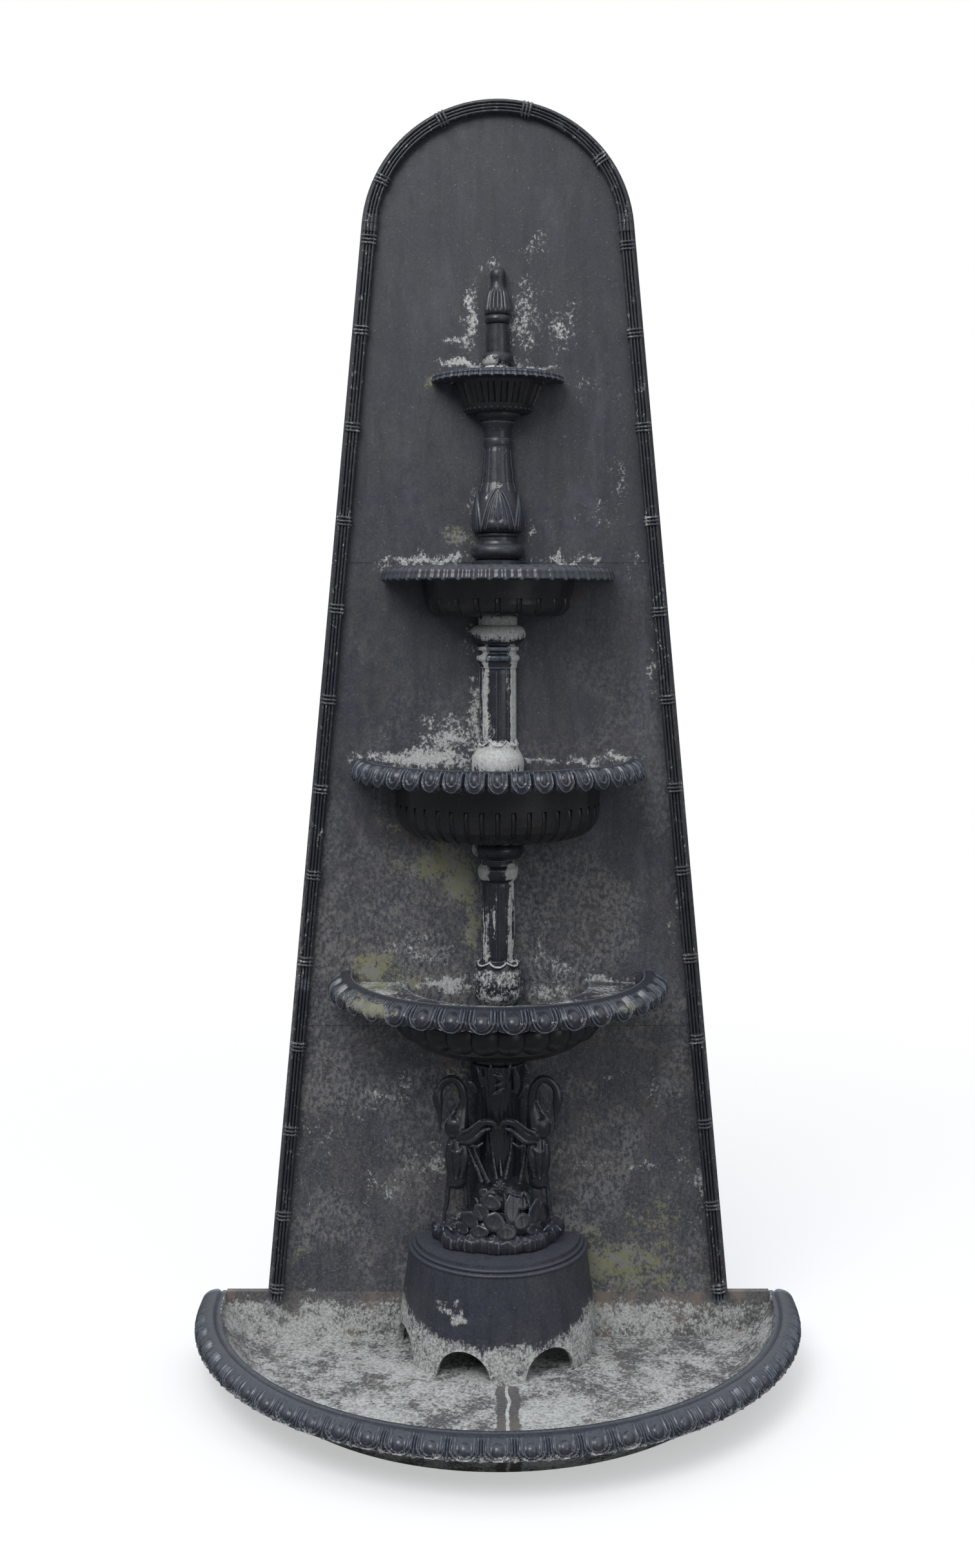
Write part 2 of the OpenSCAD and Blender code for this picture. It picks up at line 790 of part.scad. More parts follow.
module water_lily() {
    color(iron_light) placed() translate([0, -axis_out, rock_top_z]) {
        rotate([0, 0, -90 - lily_spread]) rotate_extrude(angle = 2 * lily_spread, $fn = 96)
            polygon([
                [lily_in_r, 0], [lily_in_r + lily_foot_w, 0], [lily_in_r + lily_head_w, lily_h],
                [lily_in_r, lily_h]
            ]);
        for (l = lily_leaves)
            let (out = lily_in_r + lily_foot_w - (lily_foot_w - lily_head_w) * l[1] / lily_h)
            rotate([0, 0, l[0]]) translate([0, -out, l[1]]) rotate([-lily_lean, 0, 0]) rotate([0, l[4], 0])
                lily_leaf(l[2], l[3]);
        translate([-2, -lily_in_r, flower_z]) rotate([90, 0, 0]) {
            cylinder(r = flower_r, h = 14, $fn = 32);
            cylinder(r = flower_r * 0.4, h = 17, $fn = 24);
        }
    }
}

// Basins

// Outside of a bowl from its foot round the belly and up to the lip
function bowl_curve(foot_r, steer_a, steer_b, belly, lip_r, depth) =
    concat(curve([foot_r, 0], steer_a, steer_b, belly, 8), [[lip_r, depth]]);

// Outside of a bowl with a low floor, a round corner and a steep wall
function corner_bowl(foot_r, corner, corner_r, low_a, high_a, lip_r, depth, steps = 6) =
    concat([[foot_r, 0]], arc(corner, corner_r, low_a, high_a, steps), [[lip_r, depth]]);

// Grooves bent round the y axis, each on the same centre, from one angle up to another
module bent_grooves(count, centre, bend_r, groove_r, from, to) {
    round_front(count) translate([centre[0], 0, centre[1]]) rotate([90, 0, 0]) rotate([0, 0, from])
        rotate_extrude(angle = to - from, $fn = 64)
        translate([bend_r, 0]) circle(r = groove_r, $fn = 16);
}

// A half bowl: its outside with what is added to it, hollowed by the wall, less a boss
// round the pipe that the column above stands on. Child 0 is added and child 1 cut away.
module bowl(outside, foot_z) {
    depth = outside[len(outside) - 1][1];
    inside = [for (p = outside) [p[0] - bowl_wall, min(p[1] + bowl_wall, depth)]];
    placed() translate([0, 0, foot_z]) half_turned() difference() {
        union() {
            revolved(outside);
            children(0);
        }
        difference() {
            union() {
                revolved(inside);
                translate([0, 0, depth - past]) cylinder(r = inside[len(inside) - 1][0], h = huge, $fn = 96);
            }
            translate([0, 0, -past]) cylinder(r = hub_r, h = hub_rise + past, $fn = 64);
        }
        pipe_bore(0, hub_rise);
        children(1);
    }
}

module basin_4_bowl() {
    lobe_r = 30;
    lobes = 12;
    belly_r = lip_4_r - 4;
    color(iron) bowl(
        bowl_curve(52, [lip_4_r - lobe_r, 8], [belly_r, 20], [belly_r, basin_4_d * 0.6], lip_4_r, basin_4_d),
        basin_4_foot_z
    ) {
        round_front(lobes) translate([lip_4_r - lobe_r * 0.6, 0, basin_4_d * 0.56])
            sphere(r = lobe_r, $fn = 32);
        union() {}
    }
}

module basin_3_bowl() {
    corner_r = 42;
    grooves = 21;
    groove_r = 4;
    corner = [lip_3_r - corner_r - 2, corner_r + 6];
    color(iron) bowl(corner_bowl(36, corner, corner_r, -80, 4, lip_3_r, basin_3_d, 5), basin_3_foot_z) {
        union() {}
        bent_grooves(grooves, corner, corner_r + 0.5, groove_r, -94, 18);
    }
}

module basin_2_bowl() {
    corner_r = 24;
    grooves = 11;
    groove_r = 5;
    corner = [lip_2_r - corner_r - 5, corner_r];
    color(iron) bowl(corner_bowl(40, corner, corner_r, -84, 4, lip_2_r, basin_2_d), basin_2_foot_z) {
        union() {}
        bent_grooves(grooves, corner, corner_r + 1.5, groove_r, -120, 12);
    }
}

module basin_1_bowl() {
    corner_r = 9;
    corner = [lip_1_r - 17 - corner_r, corner_r];
    lean_out = atan2(17, basin_1_d - corner_r);
    flutes_1 = 10;
    flute_r = 6.5;
    beads = 17;
    bead_r = 3;
    color(iron) bowl(corner_bowl(37, corner, corner_r, -84, -20, lip_1_r, basin_1_d), basin_1_foot_z) {
        round_front(beads) bead(corner[0] + corner_r - 1.6, corner[1] - 3, bead_r);
        round_front(flutes_1) translate([corner[0] + corner_r + flute_r * 0.55, 0, corner_r + 4])
            rotate([0, lean_out, 0]) cylinder(r = flute_r, h = basin_1_d - corner_r - 8, $fn = 24);
    }
}

function basin_section(lip_r, seat_z, band, rim_z, rim_r, amp, relief) = rim_section(
    lip_r - bowl_wall, seat_z, rim_r - band, rim_z, rim_r, seat_z - 2,
    lip_r + 4, (lip_r + rim_r) / 2, amp, relief
);

module basin_4_rim() {
    color(iron_light) egg_rim(
        function (e) basin_section(lip_4_r, basin_4_seat_z, 39, basin_4_z, basin_4_r, 4.5, e),
        18, egg_places, egg_relief, 0
    );
}

module basin_3_rim() {
    color(iron_light) egg_rim(
        function (e) basin_section(lip_3_r, basin_3_seat_z, 28, basin_3_z, basin_3_r, 3.5, e),
        21, egg_places, egg_relief, 0
    );
}

module basin_2_rim() {
    color(iron_light) egg_rim(
        function (e) basin_section(lip_2_r, basin_2_seat_z, 23, basin_2_z, basin_2_r, 3, e),
        17, small_places, small_relief, 0
    );
}

module basin_1_rim() {
    color(iron_light) egg_rim(
        function (e) basin_section(lip_1_r, basin_1_seat_z, 17, basin_1_z, basin_1_r, 2, e),
        13, small_places, small_relief, 0
    );
}

// Columns

// Upright flutes round a shaft between two levels
module flutes(r, low, high, count, lean_in = 0) {
    flute_r = PI * r / count * 0.36;
    round_front(count) translate([r + flute_r * 0.45, 0, low]) rotate([0, -lean_in, 0])
        cylinder(r = flute_r, h = high - low, $fn = 16);
}

// A fluted half column: an outline, the levels between which its shaft is fluted, and what
// is added to it
module fluted(outline, r, low, high, lean_in = 0) {
    half_turned() difference() {
        union() {
            difference() {
                revolved(outline);
                flutes(r, low, high, flute_count, lean_in);
            }
            children();
        }
        pipe_bore(lowest(outline), highest(outline));
    }
}

// Sets copies on the front, where the leaves and curls of the mouldings sit
module at_leaves(step) {
    for (a = [-step, 0, step]) rotate([0, 0, a - 90]) children();
}

// A round bead that stands out at a radius
module bead(r, z, bead_r) {
    translate([r, 0, z]) rotate([90, 0, 0]) sphere(r = bead_r, $fn = 24);
}

// The curled tips of three leaves
module leaf_tips(step, r, z, tip_r) {
    at_leaves(step) bead(r, z, tip_r);
}

// A leaf laid on a turned surface, its spine given as radius and level and its edges as angles
module wrapped_leaf(spine, half_angles, rise) {
    cuts = 4;
    root = 5;
    edge_drop = 0.6;
    across = [for (k = [0:cuts]) 2 * k / cuts - 1];
    skin([
        for (i = [0:len(spine) - 1])
            let (r = spine[i][0], z = spine[i][1], w = half_angles[i])
            concat(
                [for (u = across) [(r - root) * sin(w * u), (root - r) * cos(w * u), z]],
                [
                    for (k = [cuts:-1:0])
                        let (u = across[k], out = r + rise * (1 - u * u * edge_drop))
                        [out * sin(w * u), -out * cos(w * u), z]
                ]
            )
    ], true);
}

module column_3_shaft() {
    z = column_3_foot_z;
    foot_h = 12;
    bulb_z = z + 62;
    bulb_h = 62;
    bulb_r = 46;
    neck_z = bulb_z + bulb_h + 5;
    shaft_z = neck_z + 7;
    capital_z = collar_3_z - 38;
    capital_r = shaft_3_r + 6;
    color(iron) placed() half_turned() difference() {
        union() {
            revolved(concat(
                [[40, z], [40, z + foot_h], [36, z + foot_h + 4], [36, bulb_z]],
                curve([37, bulb_z + 2], [bulb_r, bulb_z + 10],
                    [bulb_r, bulb_z + bulb_h - 14], [40, bulb_z + bulb_h], 8),
                [[37, bulb_z + bulb_h + 1], [37, neck_z], [shaft_3_r + 3, neck_z + 3], [shaft_3_r, shaft_z]],
                [[shaft_3_r, capital_z]],
                curve([shaft_3_r + 2, capital_z + 2], [shaft_3_r + 2, capital_z + 12],
                    [capital_r, capital_z + 14], [capital_r, capital_z + 26], 5),
                [[shaft_3_r, capital_z + 29], [shaft_3_r, collar_3_z]]
            ));
            leaf_tips(45, 26, neck_z + 4, 8);
            leaf_tips(48, capital_r - 3, capital_z + 15, 7);
        }
        pipe_bore(z, collar_3_z);
        flutes(shaft_3_r, shaft_z + 8, capital_z - 4, flute_count);
        bent_grooves(4, [18, bulb_z + bulb_h / 2], 27.5, 3, -64, 64);
    }
}

module column_3_collar() {
    beads = 7;
    color(lime) placed() difference() {
        turned(concat(
            [[collar_r - 16, collar_3_z]],
            bulge(collar_r - 3, collar_3_z + 0.5, basin_3_foot_z - collar_3_neck, 12),
            [[collar_r - 9, basin_3_foot_z - collar_3_neck + 1], [collar_r - 9, basin_3_foot_z]]
        ));
        bolt_holes_at(collar_3_bolt_z, -bolt_reach - past, past);
        translate([0, -axis_out, collar_3_bolt_z]) round_front(beads) translate([collar_r + 1, 0, 0])
            rotate([0, 25, 0]) cylinder(r = 3, h = collar_3_h * 0.55, center = true, $fn = 16);
    }
}

module column_2_shaft() {
    z = column_2_foot_z;
    base_r = 43;
    flare_z = z + 100;
    shaft_z = flare_z + 36;
    capital_z = collar_2_z - 44;
    capital_r = shaft_2_r + 6;
    color(iron) placed() fluted(concat(
        [[base_r, z], [base_r, flare_z]],
        curve([base_r, flare_z + 2], [base_r - 1, flare_z + 12],
            [base_r - 7, flare_z + 20], [base_r - 6, flare_z + 32], 6),
        [[shaft_2_r, shaft_z], [shaft_2_r, capital_z]],
        curve([shaft_2_r + 2, capital_z + 2], [shaft_2_r + 3, capital_z + 12],
            [capital_r, capital_z + 10], [capital_r, capital_z + 24], 5),
        [[capital_r - 5, capital_z + 27], [capital_r - 5, capital_z + 31], [capital_r - 1, capital_z + 34]],
        [[capital_r - 1, capital_z + 38], [shaft_2_r - 1, capital_z + 40], [shaft_2_r - 1, collar_2_z]]
    ), shaft_2_r, shaft_z + 6, capital_z - 4) {
        leaf_tips(45, 30.5, shaft_z - 3, 7);
        leaf_tips(48, capital_r - 4, capital_z + 15, 7.5);
    }
}

module column_2_collar() {
    color(lime) placed() difference() {
        turned(concat(
            [[collar_r - 13, collar_2_z]],
            bulge(collar_r, collar_2_z + 0.5, basin_2_foot_z - collar_2_neck, 13),
            [[collar_r - 14, basin_2_foot_z - collar_2_neck + 1], [collar_r - 14, basin_2_foot_z]]
        ));
        bolt_holes_at(collar_2_bolt_z, -bolt_reach - past, past);
    }
}

module column_1_base() {
    z = column_1_foot_z;
    foot_r = 42;
    ring_h = 26;
    neck_r = 31;
    color(iron) placed() turned(concat(
        [[foot_r, z], [foot_r, ring_1_z - 3]],
        bulge(foot_r + 2.5, ring_1_z, ring_1_z + ring_h, 12),
        [[neck_r, ring_1_z + ring_h + 4], [neck_r - 0.5, bulb_1_z - 7]],
        bulge(neck_r + 2.5, bulb_1_z - 7, bulb_1_z, 3)
    ));
}

module column_1_shaft() {
    z = bulb_1_z;
    bulb_h = 76;
    bulb = curve([30, z], [47, z + 4], [44, z + 50], [29.5, z + bulb_h], 9);
    shaft_z = z + bulb_h + 2;
    top_z = basin_1_foot_z;
    neck_r = shaft_1_r - 5;
    ring_z = top_z - 53;
    ring_h = 13;
    taper = atan2(shaft_1_r - neck_r, ring_z - shaft_z);
    leaf_angles = [16, 27, 32, 32, 28, 23, 17, 11, 5];
    color(iron) placed() difference() {
        fluted(concat(
            bulb,
            [[shaft_1_r, shaft_z], [neck_r, ring_z]],
            bulge(neck_r + 1.5, ring_z, ring_z + ring_h, 3),
            [[neck_r, ring_z + ring_h + 1], [neck_r + 6, top_z - 14]],
            [[neck_r + 5, top_z - 12], [36, top_z - 2], [36, top_z]]
        ), shaft_1_r, shaft_z + 5, ring_z - 4, taper) {
            at_leaves(66) rotate([0, 0, 90])
                wrapped_leaf([for (i = [1:9]) bulb[i]], leaf_angles, 2.4);
            for (a = [-12, 12]) rotate([0, 0, a - 90]) bead(35, z + 12, 8);
        }
        bolt_holes_at(bulb_bolt_z, -bolt_reach - past, past);
    }
}

// Finial

outlet_r = 3;

module finial_stem() {
    ring_z = bud_z - 84;
    color(iron) placed() turned(concat(
        [[24, finial_foot_z], [24, ring_z - 4]],
        bulge(26, ring_z, ring_z + 20, 6),
        [[finial_r, ring_z + 21], [finial_r, bud_z - 28], [finial_r - 2, bud_z - 27],
            [finial_r - 2, bud_z - 16]],
        bulge(finial_r + 2.5, bud_z - 15, bud_z, 7)
    ));
}

module finial_bud() {
    skirt_r = 22.5;
    grooves = 9;
    groove_r = 2.4;
    grooves_h = 36;
    lean_in = atan2(8, grooves_h);
    color(iron) placed() half_turned() difference() {
        revolved(concat(
            [[15, bud_z], [skirt_r - 3, bud_z + 1], [skirt_r, bud_z + 6], [skirt_r, bud_z + 10]],
            curve([skirt_r - 1, bud_z + 14], [18, bud_z + 36], [13, bud_z + 44], [12, bud_z + 56], 7),
            curve([12, bud_z + 58], [12.6, bud_z + 68], [9, bud_z + 76], [outlet_r + 1, bud_z + bud_h], 5)
        ));
        pipe_bore(bud_z, bud_z + bud_h, outlet_r);
        round_front(grooves) translate([skirt_r + groove_r * 0.5, 0, bud_z + 9]) rotate([0, -lean_in, 0])
            cylinder(r = groove_r, h = grooves_h, $fn = 16);
    }
}

// Water pipe

tail_z = cap_z - spigot_h - 55;
pipe_foot_z = tail_z + hose_l + 8;
pipe_top_z = bud_z - 6;
nut_across = 11;
nut_t = 8;

module riser_pipe() {
    color(hardware) placed() translate([0, -axis_out, pipe_foot_z]) difference() {
        cylinder(r = pipe_r, h = pipe_top_z - pipe_foot_z, $fn = 32);
        translate([0, 0, -past])
            cylinder(r = pipe_bore_r, h = pipe_top_z - pipe_foot_z + 2 * past, $fn = 32);
    }
}

module pipe_nut() {
    color(hardware) placed() translate([0, -axis_out, cap_z - spigot_h - nut_t]) difference() {
        rotate([0, 0, 30]) cylinder(r = nut_across, h = nut_t, $fn = 6);
        pipe_bore(0, nut_t, pipe_r + 0.1);
    }
}

module hose_tail() {
    socket_r = 9;
    socket_h = 20;
    color(hardware) placed() translate([0, -axis_out, tail_z]) difference() {
        union() {
            cylinder(r = hose_r, h = hose_l + past, $fn = 32);
            translate([0, 0, hose_l]) cylinder(r = socket_r, h = socket_h, $fn = 32);
        }
        pipe_bore(0, hose_l, pipe_bore_r);
        translate([0, 0, hose_l + 8]) cylinder(r = pipe_r + 0.1, h = socket_h, $fn = 32);
    }
}

// Bolts that hold the stack against the panel

head_t = 5.5;

module bolt_shanks(z, from, to, r) {
    for (side = [-1, 1]) translate([side * bolt_out, from, z]) rotate([-90, 0, 0])
        cylinder(r = r, h = to - from, $fn = 24);
}

module bolt_holes_at(z, from, to) {
    bolt_shanks(z, from, to, bolt_r + pipe_clear);
}

module collar_bolt_holes() {
    for (z = bolt_levels) bolt_holes_at(z, -past, panel_back_y);
}

module tier_bolts() {
    color(hardware) placed() for (z = bolt_levels) {
        bolt_shanks(z, -bolt_reach, panel_t + washer_t + head_t, bolt_r);
        bolt_shanks(z, panel_t, panel_t + washer_t, nut_r + 1.5);
        for (side = [-1, 1]) translate([side * bolt_out, panel_t + washer_t, z])
            rotate([-90, 0, 0]) cylinder(r = nut_r, h = head_t - 0.5, $fn = 6);
    }
}

back_panel_upper();
back_panel_middle();
back_panel_lower();
border_arch();
border_left_upper();
border_left_lower();
border_right_upper();
border_right_lower();
joint_strap_upper();
joint_strap_lower();
pool_strap();
strap_bolts();
pool_bowl();
pool_rim();
plinth_drum();
plinth_cap();
rock_base();
bulrush_stem();
heron_left();
heron_right();
water_lily();
basin_4_bowl();
basin_4_rim();
column_3_shaft();
column_3_collar();
basin_3_bowl();
basin_3_rim();
column_2_shaft();
column_2_collar();
basin_2_bowl();
basin_2_rim();
column_1_base();
column_1_shaft();
basin_1_bowl();
basin_1_rim();
finial_stem();
finial_bud();
riser_pipe();
pipe_nut();
hose_tail();
tier_bolts();
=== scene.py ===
import math

import bpy
import numpy as np
from mathutils import Matrix, Vector, noise


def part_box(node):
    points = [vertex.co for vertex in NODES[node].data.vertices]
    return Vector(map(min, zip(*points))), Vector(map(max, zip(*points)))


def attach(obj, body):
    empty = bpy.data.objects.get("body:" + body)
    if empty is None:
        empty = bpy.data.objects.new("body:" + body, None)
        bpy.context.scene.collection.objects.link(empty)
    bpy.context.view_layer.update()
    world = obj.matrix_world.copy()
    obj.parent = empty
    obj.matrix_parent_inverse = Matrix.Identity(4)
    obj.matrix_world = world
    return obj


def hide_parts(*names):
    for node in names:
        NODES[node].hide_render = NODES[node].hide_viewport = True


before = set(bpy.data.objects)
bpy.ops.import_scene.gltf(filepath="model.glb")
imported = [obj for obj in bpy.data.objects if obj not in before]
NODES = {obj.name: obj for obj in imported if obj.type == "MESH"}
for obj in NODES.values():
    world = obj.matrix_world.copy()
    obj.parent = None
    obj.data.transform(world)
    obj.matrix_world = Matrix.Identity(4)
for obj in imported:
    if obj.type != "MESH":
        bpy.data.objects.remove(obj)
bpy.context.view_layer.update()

bl_info = {
    "name": "Flat back garden fountain",
    "version": (1, 0, 0),
    "blender": (4, 5, 0),
    "location": "View3D > Sidebar > Fountain",
    "description": "Dresses the fountain: moulded rims, herons, leaves and weathered paint",
    "category": "Object",
}

MM = 0.001
PANEL_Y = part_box("back_panel_middle")[0].y
# From the panel out to the axis of the basins and columns, in mm
AXIS_OUT = 11
# Points of a mesh that are this close, in metres, are one
WELD = 1e-5
# Value, on flat metal, of the attribute that marks rubbed paint with painted highlight on raised lines and painted
# shade in hollows
FLAT_WEAR_AND_SHADING = 0.42
# The camera of the photo: metres out from the panel and up, and its picture's shift across and up
CAMERA_OUT, CAMERA_UP, CAMERA_SHIFT = 2.795, 1.235, (-0.0066, -0.1175)
# Brightness of the floor as it lights the fountain, and as the camera sees it
FLOOR_BOUNCE, FLOOR_SHOWN = (0.16, 0.16, 0.16, 1), (0.9, 0.9, 0.9, 1)


def srgb(red, green, blue):
    """A colour as a screen shows it, turned into the linear values that shaders use."""
    linear = [((c / 255 + 0.055) / 1.055) ** 2.4 if c > 10 else c / 3294.6 for c in (red, green, blue)]
    return (*linear, 1.0)


# Sizes and colours that a user may change


def colour(name, description, value):
    """A property that holds a colour."""
    return bpy.props.FloatVectorProperty(
        name=name, description=description, subtype="COLOR", size=4, min=0, max=1, default=value
    )


class FountainLooks(bpy.types.PropertyGroup):
    """Colours and amounts of the paint and its weathering, and the camera's lens"""

    paint_blue: colour("Blue paint", "Blue-black paint where it is clean", srgb(56, 60, 70))
    paint_brown: colour("Brown paint", "The same paint under years of dirt", srgb(84, 78, 76))
    dark_paint_and_shade: colour("Dark paint", "Damp, shaded paint", srgb(34, 36, 42))
    # Also the painted shade in hollows
    haze: colour("Haze", "Pale film that rain leaves", srgb(104, 108, 118))
    veil: colour("Veil", "Thin dry film of lime and dirt", srgb(108, 106, 106))
    # Also the painted highlight on raised lines
    worn_and_highlight: colour("Worn paint", "Paint rubbed thin on raised lines", srgb(108, 117, 130))
    silt: colour("Silt", "Dried silt in the pool", srgb(124, 112, 104))
    lime: colour("Lime", "White limescale", srgb(205, 207, 205))
    lime_grey: colour("Grey lime", "Limescale with dirt in it", srgb(140, 139, 136))
    lichen: colour("Lichen", "Yellow-green lichen", srgb(138, 138, 98))
    rust: colour("Rust", "Brown stains of rust", srgb(112, 76, 58))
    lime_amount: bpy.props.FloatProperty(
        name="Lime", description="How far the limescale spreads", default=1.0, min=0, max=2, subtype="FACTOR"
    )
    egg_relief: bpy.props.FloatProperty(
        name="Egg relief", description="Height of the eggs on the rims", default=1.0, min=0.2, max=1.5,
        subtype="FACTOR"
    )
    lens: bpy.props.FloatProperty(
        name="Lens", description="Focal length of the camera", default=38.7, min=10, max=200, unit="CAMERA"
    )


def looks():
    """The sizes and colours that the user has set."""
    return bpy.context.scene.fountain_looks


# Meshes


def deselect():
    """Nothing stays selected, in object mode."""
    if bpy.context.mode != "OBJECT":
        bpy.ops.object.mode_set(mode="OBJECT")
    bpy.ops.object.select_all(action="DESELECT")


def pick(piece):
    """Only this piece is selected and active."""
    deselect()
    piece.select_set(True)
    bpy.context.view_layer.objects.active = piece


def edit_all(piece):
    """Opens a piece in edit mode with all of it selected."""
    pick(piece)
    bpy.ops.object.mode_set(mode="EDIT")
    bpy.ops.mesh.select_all(action="SELECT")


def leave_edit():
    """Back to object mode."""
    bpy.ops.object.mode_set(mode="OBJECT")


def named(name):
    """Names the piece that was just added."""
    piece = bpy.context.active_object
    piece.name = name
    piece.data.name = name
    return piece


def settle(piece):
    """Puts a piece's place into its mesh, so that the object sits at the origin."""
    pick(piece)
    bpy.ops.object.transform_apply(location=True, rotation=True, scale=True)
    return piece


def close_tube(piece):
    """Welds the seam of a tube, closes its open ends and turns its faces outwards."""
    edit_all(piece)
    bpy.ops.mesh.remove_doubles(threshold=WELD)
    bpy.ops.mesh.normals_make_consistent(inside=False)
    bpy.ops.mesh.select_all(action="DESELECT")
    bpy.ops.mesh.select_non_manifold(extend=False, use_wire=False, use_multi_face=False, use_verts=False)
    bpy.ops.mesh.fill_holes(sides=0)
    bpy.ops.mesh.select_all(action="SELECT")
    bpy.ops.mesh.normals_make_consistent(inside=False)
    leave_edit()


def smooth(piece, degrees=45):
    """Smooth shading up to an angle between faces."""
    pick(piece)
    bpy.ops.object.shade_smooth_by_angle(angle=math.radians(degrees))


def joined(name, pieces):
    """Makes one mesh of several pieces."""
    deselect()
    for piece in pieces:
        piece.select_set(True)
    bpy.context.view_layer.objects.active = pieces[0]
    if len(pieces) > 1:
        bpy.ops.object.join()
    return named(name)


def formed(name, across, along, place):
    """A closed tube made of a grid whose points are moved to place(column, row). place also gives an
    attribute: how far a point lies where limescale gathers; on the border it marks the bindings, which are painted
    paler as a painted highlight."""
    deselect()
    bpy.ops.mesh.primitive_grid_add(x_subdivisions=across, y_subdivisions=along, size=1)
    sheet = named(name)
    mesh = sheet.data
    lime_and_highlight = mesh.attributes.new("lime_and_highlight", "FLOAT", "POINT")
    for vertex in mesh.vertices:
        column = round((vertex.co.x + 0.5) * across)
        row = round((vertex.co.y + 0.5) * along)
        vertex.co, lime_and_highlight.data[vertex.index].value = place(column, row)
    close_tube(sheet)
    return sheet


def mark_wear_and_shading(piece, gain):
    """Writes an attribute: high where a point stands proud of its neighbours, where the paint is lightened as rubbed
    paint and painted highlight, and low in hollows, where it is darkened as painted shade.
    """
    mesh = piece.data
    count = len(mesh.vertices)
    spots, normals = np.empty(count * 3), np.empty(count * 3)
    mesh.vertices.foreach_get("co", spots)
    mesh.vertices.foreach_get("normal", normals)
    spots, normals = spots.reshape(-1, 3), normals.reshape(-1, 3)
    ends = np.empty(len(mesh.edges) * 2, dtype=np.int64)
    mesh.edges.foreach_get("vertices", ends)
    a, b = ends.reshape(-1, 2).T
    number = np.maximum(np.bincount(ends, minlength=count), 1)

    def round_about(values):
        return (np.bincount(a, values[b], count) + np.bincount(b, values[a], count)) / number

    middle = np.stack([round_about(spots[:, axis]) for axis in range(3)], axis=1)
    reach = np.linalg.norm(spots[a] - spots[b], axis=1)
    size = (np.bincount(a, reach, count) + np.bincount(b, reach, count)) / number
    proud = ((spots - middle) * normals).sum(axis=1) / np.maximum(size, 1e-9)
    proud = (proud + round_about(proud)) / 2
    mesh.attributes.new("wear_and_shading", "FLOAT", "POINT").data.foreach_set("value", FLAT_WEAR_AND_SHADING + gain * proud)


def cast(name, pieces, voxel):
    """Melts overlapping pieces into one casting."""
    piece = joined(name, pieces)
    melt = piece.modifiers.new("melt", "REMESH")
    melt.mode = "VOXEL"
    melt.voxel_size = voxel * MM
    soften = piece.modifiers.new("soften", "SMOOTH")
    soften.iterations = 1
    pick(piece)
    bpy.ops.object.modifier_apply(modifier="melt")
    bpy.ops.object.modifier_apply(modifier="soften")
    return piece


def out_spot(x, out, z):
    """A place in mm across, out from the panel and up, as a point of the frame."""
    return Vector((x * MM, PANEL_Y - out * MM, z * MM))


def strand(name, route, flat=1.0, sides=10, steps=None):
    """A tapering limb along a route of (x, out, z, radius) in mm. flat thins it towards the viewer."""
    steps = steps or 6 * (len(route) - 1)
    line, _ = along_points([Vector(stop) for stop in route], steps)

    def place(column, row):
        spot = line[row]
        run = Vector((line[min(row + 1, steps)] - line[max(row - 1, 0)])[:3]).normalized()
        side = run.cross(Vector((0, 1, 0)))
        side = side.normalized() if side.length > 0.05 else Vector((1, 0, 0))
        front = side.cross(run)
        turn = 2 * math.pi * (column % sides) / sides
        x, out, z = Vector(spot[:3]) + (side * math.cos(turn) + front * math.sin(turn) * flat) * spot[3]
        return out_spot(x, out, z), 0.0

    return formed(name, sides, steps, place)


def strands(name, routes, flat=1.0):
    """Thin strands along several routes."""
    return [strand(f"{name}_{i}", route, flat, 8) for i, route in enumerate(routes)]


def lobe(name, x, out, z, wide, thick, high, lean=0.0):
    """An ellipsoid with half sizes in mm, leant to the side by degrees."""
    deselect()
    bpy.ops.mesh.primitive_uv_sphere_add(segments=24, ring_count=16, radius=1)
    piece = named(name)
    piece.scale = (wide * MM, thick * MM, high * MM)
    piece.rotation_euler = (0, math.radians(lean), 0)
    piece.location = out_spot(x, out, z)
    return settle(piece)


def mirrored(name, piece):
    """A copy of a piece on the other side of the middle plane."""
    twin = piece.copy()
    twin.data = piece.data.copy()
    bpy.context.scene.collection.objects.link(twin)
    twin.scale.x = -1
    settle(twin)
    twin.name = twin.data.name = name
    edit_all(twin)
    bpy.ops.mesh.normals_make_consistent(inside=False)
    leave_edit()
    return twin


def hand_over(piece, nodes, material, degrees=45, worn_and_highlight=0.0):
    """Finishes a piece: smooth, dressed, riding on the fountain and standing for its CAD nodes."""
    smooth(piece, degrees)
    if worn_and_highlight:
        mark_wear_and_shading(piece, worn_and_highlight)
    dress(piece, material)
    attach(piece, "root")
    if nodes:
        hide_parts(*nodes)


def hand_over_cast(piece, *nodes):
    """Finishes a cast piece of the pedestal."""
    hand_over(piece, nodes, MATERIALS["pedestal"], degrees=60, worn_and_highlight=3.0)


def dress(piece, material):
    """Gives a piece this material and no other."""
    piece.data.materials.clear()
    piece.data.materials.append(material)


# Curves for outlines


